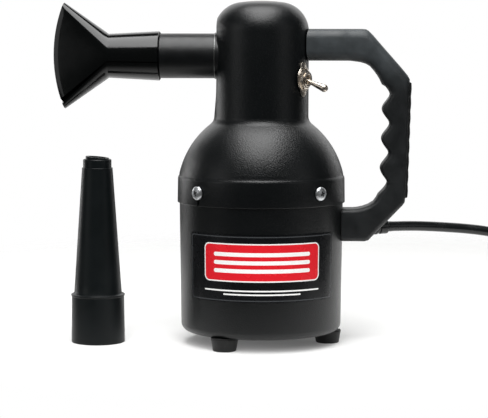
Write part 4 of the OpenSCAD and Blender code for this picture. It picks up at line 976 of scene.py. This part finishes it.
class BLOWER_OT_housing(Operator):
    """Domed upper housing, canister and label"""

    bl_idname = "blower.housing"
    bl_label = "Housing"

    def execute(self, context):
        h, outlet = measured(context.scene.blower_housing), measured(context.scene.blower_outlet)
        colours = context.scene.blower_colours
        coat = powder_coat(colours)
        self.upper(h, outlet, coat)
        self.can(h, coat)
        self.label(h, colours)
        return {"FINISHED"}

    def upper(self, h, outlet, coat):
        """Spun shell with the outlet's bore and a slot in the skirt below the front left screw."""
        bm = press_pad(spun(shoulder_profile(h), closed=False, steps=192), h, outlet.axis_z)
        bmesh.ops.recalc_face_normals(bm, faces=bm.faces)
        bmesh.ops.solidify(bm, geom=bm.faces[:], thickness=h.wall)
        made = mesh_object("housing_shell", bm)
        slot = placed(box((12, 2.0, 12)), shift(h.skirt_r, 0, h.skirt_z + 4.5), turn("Z", 225))
        bore = placed(rod(outlet.tube_r + 0.1, 20, 60, steps=64), along_outlet(outlet))
        cut_away(made, slot, bore)
        finished(made, coat, slot="black_powder_coat", replaces=("upper_housing",), sharp=38)

    def can(self, h, coat):
        """Drawn canister with rings of intake holes and the feet's screw holes in its underside."""
        corner = (h.can_bottom_r - h.can_corner_r, h.can_z + h.can_corner_r)
        rim_r = h.skirt_r - 1.5
        profile = [(0.0, h.can_z)] + arc(corner, h.can_corner_r, -90, 0, 10)
        profile += [(h.can_top_r, h.skirt_z - 1.0), (rim_r, h.skirt_z - 0.5), (rim_r, h.rim_z)]
        bm = spun(profile, closed=False, steps=192)
        bmesh.ops.solidify(bm, geom=bm.faces[:], thickness=h.wall)
        made = mesh_object("canister_shell", bm)
        holes = [(0.0, 0.0, h.intake_hole_r)]
        for ring in (1, 2, 3):
            for k in range(6 * ring):
                holes.append((*polar(h.intake_pitch * ring, 60 * k / ring), h.intake_hole_r))
        for azimuth in FOOT_DIRECTIONS.values():
            holes.append((*polar(h.foot_circle_r, azimuth), 2.1))
        drills = bmesh.new()
        for x, y, r in holes:
            bmesh.ops.create_cone(
                drills, cap_ends=True, segments=24, radius1=r, radius2=r, depth=8, matrix=shift(x, y, h.can_z)
            )
        cut_away(made, drills)
        finished(made, coat, slot="black_powder_coat", replaces=("lower_can",), sharp=38)

    def label(self, h, colours):
        """Film wrapped round the canister, its UV map in millimetres from its middle."""
        foot_z = h.can_z + h.can_corner_r
        middle, height = (h.label_low + h.label_high) / 2, h.label_high - h.label_low
        half_turn = math.radians(h.label_to - h.label_from)

        def wall_r(z):
            return h.can_bottom_r + (h.can_top_r - h.can_bottom_r) * (z - foot_z) / (h.skirt_z - 1 - foot_z)

        width = half_turn * wall_r(middle)
        bm = bmesh.new()
        bmesh.ops.create_grid(bm, x_segments=96, y_segments=6, size=0.5)
        uv = bm.loops.layers.uv.new("label_mm")
        for face in bm.faces:
            for loop in face.loops:
                loop[uv].uv = (loop.vert.co.x * width, loop.vert.co.y * height)
        for v in bm.verts:
            z = middle + v.co.y * height
            a = math.radians((h.label_from + h.label_to) / 2) + v.co.x * half_turn
            r = wall_r(z) + 0.6
            v.co = (r * math.cos(a), r * math.sin(a), z)
        bmesh.ops.recalc_face_normals(bm, faces=bm.faces)
        if sum(f.normal.dot(f.calc_center_median() * Vector((1, 1, 0))) for f in bm.faces) < 0:
            bmesh.ops.reverse_faces(bm, faces=bm.faces[:])
        bmesh.ops.solidify(bm, geom=bm.faces[:], thickness=0.5)
        film = label_film(colours, width, height)
        piece("front_label_film", bm, film, slot="label_film", replaces=("front_label",), sharp=30)


class BLOWER_OT_screws(Operator):
    """Cross-head screws round the skirt and the other fixings"""

    bl_idname = "blower.screws"
    bl_label = "Screws"

    def execute(self, context):
        h = measured(context.scene.blower_housing)
        # Painted shade: the zinc is darkened in the cross recesses and the other narrow hollows.
        zinc = plated("bright_zinc_plating", context.scene.blower_colours.zinc, 0.4, painted_hollow_shade=1.2)
        heads = []
        for azimuth, spin in ((45, 10), (135, 60), (225, 32), (315, 18)):
            seat = on_wall(h.skirt_r + 0.1, azimuth, h.screw_z)
            heads.append(placed(self.pan_head(h.screw_r, 3.2), turn("Z", spin), seat))
        piece(
            "skirt_cross_head_screws", joined(*heads), zinc,
            slot="zinc_screws", replaces=("skirt_screws",), sharp=40,
        )
        for node in (
            "skirt_nuts", "handle_screws", "foot_screws", "foot_nuts", "through_bolts", "fan_nut",
            "strain_relief_nut",
        ):
            paint_node(node, zinc)
        return {"FINISHED"}

    def pan_head(self, r, high):
        """Domed head with a cross recess, standing on a short shank."""
        edge = 0.8
        profile = [(0, -6.0), (1.9, -6.0), (1.9, 0.0), (r - 0.3, 0.0), (r, 0.3), (r, edge)]
        for degrees in range(12, 90, 13):
            across, up = polar(1, degrees)
            profile.append((r * across**0.8, edge + (high - edge) * up))
        made = mesh_object("head", spun(profile + [(0, high)], closed=False, steps=48))
        wings = []
        for quarter in (0, 90):
            wing = box((6.2, 1.2, 4.0))
            bmesh.ops.scale(wing, vec=(0.45, 0.7, 1), verts=[v for v in wing.verts if v.co.z < 0])
            wings.append(placed(wing, turn("Z", quarter), shift(0, 0, high + 0.1)))
        return as_bmesh(cut_away(made, *wings))


# ---------------------------------------------------------------- outlet and nozzles


class BLOWER_OT_outlet(Operator):
    """Outlet tube with its trim ring"""

    bl_idname = "blower.outlet"
    bl_label = "Outlet"

    def execute(self, context):
        o, colours = measured(context.scene.blower_outlet), context.scene.blower_colours
        r, end, mouth = o.tube_r, o.tube_end, o.spigot_end
        bore, root = o.spigot_r - o.wall, 28.0
        profile = [(r - o.wall, root), (r, root)] + [(r, x) for x in range(32, int(end), 6)]
        profile += [(r, end - 0.6), (r - 0.6, end), (o.spigot_r, end), (o.spigot_r, mouth - 0.5)]
        profile += [(o.spigot_r - 0.5, mouth), (bore + 0.2, mouth), (bore, mouth - 0.3), (bore, end - 3)]
        profile += [(r - o.wall, end - 4.5)]
        tube = placed(spun(profile, steps=128), along_outlet(o))
        paint = tube_paint(colours)
        piece("outlet_tube_painted", tube, paint, slot="satin_black_metal", replaces=("outlet_tube",))
        inner, shoulder, outer = r + 0.05, r + 0.4, r + 0.6
        near, far = o.ring_x, o.ring_x + 0.8
        section = [(inner, near), (inner, far), (shoulder, far), (outer, far - 0.2)]
        section += [(outer, near + 0.2), (shoulder, near)]
        ring = placed(spun(section, steps=128), along_outlet(o))
        bright = plated("bright_aluminium_ring", colours.trim, 0.42)
        piece("outlet_ring_bright", ring, bright, slot="bright_ring", replaces=("outlet_ring",))
        return {"FINISHED"}


class BLOWER_OT_flare_nozzle(Operator):
    """Glossy flared nozzle"""

    bl_idname = "blower.flare_nozzle"
    bl_label = "Flared nozzle"

    def execute(self, context):
        o = measured(context.scene.blower_outlet)
        gloss = gloss_abs(context.scene.blower_colours)
        piece(
            "flared_nozzle_gloss", placed(self.body(o), along_outlet(o)), gloss, body="flare_nozzle",
            slot="gloss_black_plastic", replaces=("flare_nozzle",), sharp=40,
        )
        return {"FINISHED"}

    def corners(self):
        """Points of a ring: direction at the round throat, direction at the mouth, share of the flat side."""
        flat_a, steps = 16.0, 8
        ring = []
        for side, facing in ((1, 0), (-1, 180)):
            for k in range(2 * steps + 1):
                t = side * (k / steps - 1)
                ring.append((facing + t * (90 - flat_a), facing + t * 90, side))
            for k in range(1, 2 * steps):
                share = 1 - k / steps
                ring.append((90 * side - flat_a * share, 90 * side, side * share))
        return ring

    def body(self, o):
        """Rings from the collar to the flat mouth, then back along the inside."""
        corners = self.corners()
        start = o.tube_end + 0.1
        throat = start + o.collar_len
        mouth = throat + o.fan_len
        half = o.fan_half_h - o.fan_half_t
        # How far the spigot goes in, and the length over which the bore is round before the fan
        socket_len, lead = 29.0, 8.0

        def round_ring(r, z):
            return [(*polar(r, a), z) for a, _, _ in corners]

        def fan_ring(share, inset, back=0.0):
            """Section part of the way from the round throat to the flat mouth, whose rim is an arc."""
            ring = []
            for a, b, f in corners:
                first = Vector((*polar(o.throat_r - inset, a), throat))
                x, y = polar(o.fan_half_t - inset, b)
                last = Vector((x + half * f, y, mouth))
                reach = 1.0
                for _ in range(12):
                    x = first.x + (last.x - first.x) * reach
                    rim = mouth - back - o.mouth_r + math.sqrt(o.mouth_r**2 - x * x)
                    reach = (rim - throat) / (mouth - throat)
                ring.append(tuple(first + (last - first) * reach * share))
            return ring

        def collar_ring(share):
            return round_ring(o.collar_r + (o.throat_r - o.collar_r) * share, start + o.collar_len * share)

        wall = o.fan_wall
        rings = [round_ring(o.socket_r, start), round_ring(o.collar_r - 0.5, start)]
        rings += [round_ring(o.collar_r, start + 0.5)]
        rings += [collar_ring(share) for share in (0.25, 0.5, 0.75, 0.98)]
        rings += [fan_ring(t / 12, 0.0, 0.2) for t in range(13)]
        rings += [fan_ring(1.0, 0.1, 0.05), fan_ring(1.0, 0.3)]
        rings += [fan_ring(1.0, wall - 0.3), fan_ring(1.0, wall, 0.2)]
        rings += [fan_ring(t / 12, wall, 0.2) for t in range(11, -1, -1)]
        rings += [round_ring(o.bore_r, throat - lead), round_ring(o.bore_r, start + socket_len + 0.6)]
        rings += [round_ring(o.socket_r, start + socket_len)]
        return lofted(rings, round_again=True)


class BLOWER_OT_loose_nozzle(Operator):
    """Loose tapered nozzle with its tip insert"""

    bl_idname = "blower.loose_nozzle"
    bl_label = "Loose nozzle"

    def execute(self, context):
        o = measured(context.scene.blower_outlet)
        wax = nozzle_polyethylene(context.scene.blower_colours)
        stands = shift(-o.spare_x, -o.spare_y, 0)
        piece(
            "loose_nozzle_moulded", placed(self.cone(o), stands), wax, body="tapered_nozzle",
            slot="handle_plastic", replaces=("tapered_nozzle",),
        )
        high = o.tip_h
        profile = [(7.0, 121.1), (9.0, 121.1), (9.0, high - 0.3), (8.7, high), (7.3, high), (7.0, high - 0.3)]
        tip = placed(spun(profile, steps=64), stands)
        # The tip's end is cut at a slant
        knife = placed(box((60, 40, 10)), shift(20, 0, 5), turn("Y", 5), shift(-9, 0, high), stands)
        made = cut_away(mesh_object("nozzle_tip_insert", tip), knife)
        finished(made, wax, body="tapered_nozzle", slot="tip_plastic", replaces=("nozzle_tip",))
        return {"FINISHED"}

    def cone(self, o):
        """Collar with a rolled bead, a long taper and a stepped end that holds the tip."""
        high, step, tip_foot = o.spare_h, 136.5, 121.0
        (r0, z0), (r1, z1) = (18.45, 39.5), (11.9, step - 1.0)
        profile = [
            (o.socket_r, 0.4), (16.5, 0.0), (20.3, 0.0), (20.8, 0.6), (20.6, 18.0), (20.4, 36.0),
            (20.9, 36.8), (20.9, 37.5), (20.4, 37.9), (18.95, 38.4), (r0, z0),
        ]
        profile += [(r0 + (r1 - r0) * t / 12, z0 + (z1 - z0) * t / 12) for t in range(1, 13)]
        profile += [
            (r1, step - 0.3), (r1 - 0.3, step), (11.0, step + 0.1), (11.0, high - 0.6), (10.5, high),
            (9.05, high), (9.05, tip_foot), (7.6, tip_foot), (14.5, 35.6), (o.socket_r, 34.0),
        ]
        return spun(profile, steps=96)


# ---------------------------------------------------------------- handle


def grip_ends(s):
    """Heights between which the grip of the handle s is straight."""
    return s.top_z - 38.4, s.bottom_z + 30.3


def grip_back(s, z):
    """Distance of the grip's back from the axis at a height."""
    high, low = grip_ends(s)
    return s.grip_x - s.grip_lean * (high - z) / (high - low)


def handle_stations(s):
    """Outer and inner points of the handle's outline, from the neck round to the canister."""
    top, bottom, high_in, low_in, back = s.top_z, s.bottom_z, s.upper_in_z, s.lower_in_z, s.grip_x
    grip_high, grip_low = grip_ends(s)
    groove_z, groove_x, steps = grip_high - 11.7, back - 15.1, 23

    def front_x(z):
        k = (groove_z - z) / s.groove_pitch
        return groove_x - 0.2 * k * k - s.groove_depth * abs(math.sin(math.pi * k)) ** 1.7

    stations = [(x, top, x, high_in) for x in (30, 44, 58, s.seam_x - 0.5, s.seam_x + 0.5)]
    stations += [
        (71, top, 69, high_in - 0.1), (77, top, 71.6, high_in - 0.4), (80.4, top - 0.2, 76.3, high_in - 1.1),
        (82.4, top - 1.4, 80.4, high_in - 2.3), (85.9, top - 4.8, 83.6, high_in - 4.2),
        (90.4, top - 10, 86.4, high_in - 7.3), (96.2, top - 16.6, 89.2, high_in - 11),
        (102.6, top - 23.8, 91, high_in - 13.9), (108.4, top - 30.4, back - 22.1, high_in - 16.5),
        (back - 1.6, top - 35.6, back - 21.3, high_in - 18.1),
    ]
    for i in range(-6, 75):
        z = groove_z - i * s.groove_pitch / steps
        back_z = z + 0.6 * max(z - grip_high + 15, 0)
        stations.append((grip_back(s, back_z), back_z, front_x(z), z))
    stations += [
        (back - 3.2, grip_low + 0.2, back - 23.8, low_in + 11),
        (back - 4.9, grip_low - 2.3, back - 25, low_in + 8.4),
        (back - 10.6, grip_low - 8.2, 87, low_in + 5.3), (back - 16.6, grip_low - 14.5, 83, low_in + 2.8),
        (91.5, bottom + 9.4, 78.6, low_in + 1.2), (85.8, bottom + 3.5, 74.4, low_in + 0.3),
        (83.2, bottom + 0.8, 71, low_in), (80.4, bottom, 67, low_in), (66, bottom, 62, low_in),
        (52, bottom, 52, low_in),
    ]
    return stations


class BLOWER_OT_handle(Operator):
    """Moulded frame handle with finger grooves and its ribbed back pad"""

    bl_idname = "blower.handle"
    bl_label = "Handle"

    def execute(self, context):
        s, h = measured(context.scene.blower_handle), measured(context.scene.blower_housing)
        colours = context.scene.blower_colours
        rings = [self.section(s, *station) for station in handle_stations(s)]
        made = mesh_object("frame_handle", lofted(rings))
        housing = spun([(0, 90)] + shoulder_profile(h, 0.9)[4:], closed=False, steps=192)
        canister = rod(h.can_top_r + 0.1, 60, 109, steps=192)
        cut_away(made, housing, canister)
        finished(made, handle_nylon(colours), slot="handle_plastic", replaces=("handle",), sharp=50)
        self.pad(s, rubber(colours))
        return {"FINISHED"}

    def section(self, s, outer_x, outer_z, inner_x, inner_z):
        """Rounded and slightly crowned oblong between the outer and the inner point."""
        outer, inner = Vector((outer_x, 0, outer_z)), Vector((inner_x, 0, inner_z))
        middle, half = (outer + inner) / 2, (outer - inner).length / 2
        along = (outer - inner).normalized()
        on_upper_arm = outer_x < s.seam_x and outer_z > 200
        deep = s.thickness / 2 + (0.7 if on_upper_arm else 0.0)
        edge_r = s.crisp_r + (s.edge_r - s.crisp_r) * smooth_step((outer_z - 190) / 18)
        r = min(edge_r, half * 0.9)
        ring = []
        for cu, cv, a in ((1, 1, 0), (-1, 1, 90), (-1, -1, 180), (1, -1, 270)):
            for u, v in arc((cu * (half - r), cv * (deep - r)), r, a, a + 90, 8):
                crown = 1 - 0.09 * (u / half) ** 2
                ring.append(middle + along * u + Vector((0, v * crown, 0)))
        return ring

    def pad(self, s, black):
        """Rubber strip on the grip's back, with cross grooves."""
        high, low = grip_ends(s)
        high, low, ribs = high - 2, low + 3, 8
        points = [(grip_back(s, low) - 1.2, low)]
        for k in range(ribs):
            for t in (0.06, 0.2, 0.5, 0.8, 0.94):
                z = low + (high - low) * (k + t) / ribs
                points.append((grip_back(s, z) + 1.15 + 0.45 * math.sin(math.pi * t), z))
        points.append((grip_back(s, high) - 1.2, high))
        bm = soften(prism(points, s.pad_width), 0.35, segments=2, sharper=35)
        piece("grip_back_pad", bm, black, slot="pad_rubber", replaces=("handle_back_pad",), sharp=40)


# ---------------------------------------------------------------- feet and switch


class BLOWER_OT_feet(Operator):
    """Three rubber feet"""

    bl_idname = "blower.feet"
    bl_label = "Feet"

    def execute(self, context):
        h = measured(context.scene.blower_housing)
        black = rubber(context.scene.blower_colours)
        profile = [(5.0, 0.0), (8.0, 0.0)] + arc((8.0, 1.1), 1.1, -80, -6, 4)
        profile += [(10.3, 8.2), (10.6, 9.0), (10.4, 9.9), (2.3, 9.9), (2.3, 3.4), (5.0, 3.4)]
        for name, azimuth in FOOT_DIRECTIONS.items():
            foot = placed(spun(profile, steps=56), shift(*polar(h.foot_circle_r, azimuth), 0))
            piece("rubber_foot_" + name, foot, black, slot="pad_rubber", replaces=("foot_" + name,))
        return {"FINISHED"}


class BLOWER_OT_switch(Operator):
    """Toggle switch: plate, washer, nut, threaded bushing and lever"""

    bl_idname = "blower.switch"
    bl_label = "Switch"

    def execute(self, context):
        s = measured(context.scene.blower_switch)
        # Painted shade: the nickel is darkened in the narrow hollows round the nut, washer and plate.
        nickel = plated("bright_nickel_plating", context.scene.blower_colours.nickel, 0.28, painted_hollow_shade=0.35)
        place = on_wall(s.seat_r, s.azimuth, s.height)
        washer = [
            (6.1, 1.1), (9.5, 1.1), (9.8, 1.25), (9.7, 1.45), (8.9, 1.6), (8.6, 1.4), (8.4, 1.7), (6.1, 1.7),
        ]
        parts = (
            ("switch_face_plate", self.plate(s, place), "switch_plate", 30),
            ("switch_lock_washer", placed(spun(washer, steps=64), place), "switch_washer", 32),
            ("switch_hex_nut", placed(self.nut(s), place), "switch_nut", 30),
            ("switch_threaded_bushing", placed(self.bushing(), place), "switch_bushing", 25),
        )
        for name, bm, node, sharp in parts:
            piece(name, bm, nickel, slot="nickel", replaces=(node,), sharp=sharp)
        lever = placed(self.lever(s), turn("Y", s.lever_down), shift(0, 0, 1.0), place)
        piece(
            "switch_bat_lever", lever, nickel, body="switch_lever", slot="nickel", replaces=("switch_lever",)
        )
        return {"FINISHED"}

    def plate(self, s, place):
        """Oblong plate with rounded ends that lies along the neck, three grooves across each tab."""
        half_l, half_w, thick = 13.4, 4.4, 0.7
        end = half_l - half_w
        points = arc((end, 0), half_w, -90, 90, 16) + arc((-end, 0), half_w, 90, 270, 16)
        bm = soften(prism(points, thick, plane="XY"), 0.2, segments=2)
        made = mesh_object("plate", placed(bm, shift(0, 0, thick), place))
        hole = bmesh.new()
        bmesh.ops.create_cone(hole, cap_ends=True, segments=48, radius1=s.hole_r, radius2=s.hole_r, depth=6)
        grooves = joined(*[
            box((0.45, 12, 0.5), (side * (10.1 + 1.0 * k), 0, 1.1)) for side in (-1, 1) for k in range(3)
        ])
        return as_bmesh(cut_away(made, placed(hole, place), placed(grooves, place)))

    def nut(self, s):
        """Hexagon nut with its outer corners turned off."""
        bm = bmesh.new()
        bmesh.ops.create_cone(bm, cap_ends=True, segments=6, radius1=8.2, radius2=8.2, depth=2.5)
        made = mesh_object("nut", placed(bm, turn("Z", 12)))
        chamfer = spun([(6.5, 1.4), (9.5, 1.4), (9.5, -0.9)], steps=48)
        return placed(as_bmesh(cut_away(made, rod(s.hole_r, -3, 3), chamfer)), shift(0, 0, 2.95))

    def bushing(self):
        """Threaded bushing with a turned groove for each thread, its mouth opened for the lever's throw."""
        pitch = 0.8
        profile = [(3.0, -5.0), (5.4, -5.0)]
        for k in range(12):
            z = pitch * k - 4.6
            profile += [(5.95, z), (5.95, z + 0.15), (5.5, z + 0.4), (5.5, z + 0.55)]
        profile += [(5.9, 5.1), (5.6, 5.4), (4.0, 5.4), (3.6, 5.1), (3.3, 4.2), (3.0, 3.2)]
        return spun(profile, steps=56)

    def lever(self, s):
        """Ball, tapered stem and rounded bat end."""
        ball, neck_z, root, tip, steps = 2.6, 5.0, 1.5, 3.0, 8
        stem = s.lever_len - neck_z - tip
        profile = [(0, -ball)] + arc((0, 0), ball, -80, 50, 12)[1:] + [(1.6, 3.2), (root, neck_z)]
        for t in range(1, steps + 1):
            profile.append((root + (tip - root) * (t / steps) ** 1.15, neck_z + stem * t / steps))
        profile += arc((0, s.lever_len - tip), tip, 8, 90, 10)
        return spun(profile, closed=False, steps=48)


# ---------------------------------------------------------------- inner pieces


class BLOWER_OT_motor(Operator):
    """Finishes of the motor, fan and wiring inside the housing"""

    bl_idname = "blower.motor"
    bl_label = "Motor"

    def execute(self, context):
        # Sheet steel, hot-dip galvanised: pale grey with broad soft spangles
        galvanised = surface(
            "galvanised_sheet", "a8aaab", 0.42, grain=2.0, depth=0.01, tone=0.2, blotch=7.0, metallic=1.0
        )
        # Aluminium, gravity cast: dull silver with a sandy skin
        cast = surface("cast_aluminium", "9a9c9e", 0.55, grain=1.2, depth=0.08, tone=0.12, metallic=1.0)
        # Electrical steel, stacked and varnished: grey lines 0.5 mm apart under a thin gloss
        laminations = surface(
            "varnished_laminations", "55575a", 0.45, grain=0.5, depth=0.06, tone=0.18,
            stretch=(0.02, 0.02, 1), metallic=0.8,
        )
        # Copper wire, enamelled: coppery brown with one ridge per wire
        enamelled = surface(
            "enamelled_copper_wire", "9a4e22", 0.32, grain=0.9, depth=0.12, tone=0.25,
            stretch=(0.1, 0.1, 1), metallic=0.7,
        )
        # Copper, turned: bright and warm with fine rings
        copper = surface(
            "turned_copper", "b86c44", 0.28, grain=0.3, depth=0.01, tone=0.15,
            stretch=(0.05, 0.05, 1), metallic=1.0,
        )
        # Carbon, pressed: matt and nearly black
        carbon = surface("pressed_carbon", "1c1c1d", 0.7, grain=0.4, depth=0.03, tone=0.2)
        # Phenolic, moulded: dark brown with a mottled, slightly glossy skin
        phenolic = surface("moulded_phenolic", "2e1a10", 0.3, grain=0.5, depth=0.01, tone=0.35, blotch=2.0)
        # Bearing steel, ground: cold grey and almost a mirror
        ground = surface(
            "ground_bearing_steel", "b9babb", 0.14, grain=0.4, depth=0.002, tone=0.08, metallic=1.0
        )
        # Aluminium sheet, pressed: satin silver
        satin = surface("satin_aluminium", "bfc1c3", 0.34, grain=0.5, depth=0.008, tone=0.1, metallic=1.0)
        # Brass, stamped and polished: warm yellow
        brass = surface("bright_brass", "c39a45", 0.22, grain=0.5, depth=0.004, tone=0.12, metallic=1.0)
        # PVC, extruded on wire: an even off-white with a soft shine
        insulation = surface("pvc_wire_insulation", "d6d6d3", 0.4, grain=1.0, depth=0.02, tone=0.06)
        # Polyurethane foam, open-cell: dark grey, rough and full of pores
        foam = surface("open_cell_foam", "3a3b3c", 0.95, grain=1.4, depth=0.9, tone=0.35, blotch=3.0)
        # Rubber sheet, moulded: matt black
        gasket = surface("moulded_gasket_rubber", "17181a", 0.65, grain=0.6, depth=0.03, tone=0.2)
        finishes = (
            (galvanised, ("handle_backing_plates", "motor_seat_ring", "fan_shell", "diffuser")),
            (galvanised, ("motor_bridge", "brush_springs")),
            (cast, ("lower_bracket", "upper_bracket")),
            (laminations, ("stator_core", "armature_core")),
            (enamelled, ("field_coil_left", "field_coil_right", "armature_windings")),
            (copper, ("commutator",)),
            (carbon, ("carbon_brushes",)),
            (phenolic, ("switch_body", "brush_holders")),
            (ground, ("bearing_outer_races", "bearing_balls", "bearing_inner_races", "motor_shaft")),
            (satin, ("fan_wheel",)),
            (brass, ("switch_terminals", "plug_blades")),
            (insulation, ("inner_wires",)),
            (foam, ("intake_filter",)),
            (gasket, ("lower_gasket", "top_cushion")),
        )
        for material, nodes in finishes:
            for node in nodes:
                paint_node(node, material)
        return {"FINISHED"}


# ---------------------------------------------------------------- panel and registration


STEPS = (
    BLOWER_OT_stage, BLOWER_OT_cord, BLOWER_OT_housing, BLOWER_OT_screws, BLOWER_OT_outlet,
    BLOWER_OT_flare_nozzle, BLOWER_OT_loose_nozzle, BLOWER_OT_handle, BLOWER_OT_feet, BLOWER_OT_switch,
    BLOWER_OT_motor,
)
GROUPS = {
    "blower_housing": BlowerHousingSizes,
    "blower_outlet": BlowerOutletSizes,
    "blower_handle": BlowerHandleSizes,
    "blower_cord": BlowerCordSizes,
    "blower_switch": BlowerSwitchSizes,
    "blower_colours": BlowerColours,
}


class BLOWER_PT_pieces(Panel):
    """Lists the pieces of the blower"""

    bl_idname = "BLOWER_PT_pieces"
    bl_label = "Car dryer blower"
    bl_space_type = "VIEW_3D"
    bl_region_type = "UI"
    bl_category = "Blower"

    def draw(self, context):
        for step in STEPS:
            self.layout.operator(step.bl_idname)


def register():
    for group in GROUPS.values():
        bpy.utils.register_class(group)
    for step in STEPS + (BLOWER_PT_pieces,):
        bpy.utils.register_class(step)
    for name, group in GROUPS.items():
        setattr(bpy.types.Scene, name, PointerProperty(type=group))


def unregister():
    for name in GROUPS:
        delattr(bpy.types.Scene, name)
    for step in (BLOWER_PT_pieces,) + STEPS[::-1]:
        bpy.utils.unregister_class(step)
    for group in GROUPS.values():
        bpy.utils.unregister_class(group)


def main():
    """Builds every piece in order."""
    register()
    for step in STEPS:
        group, name = step.bl_idname.split(".")
        getattr(getattr(bpy.ops, group), name)()


if __name__ == "__main__":
    main()
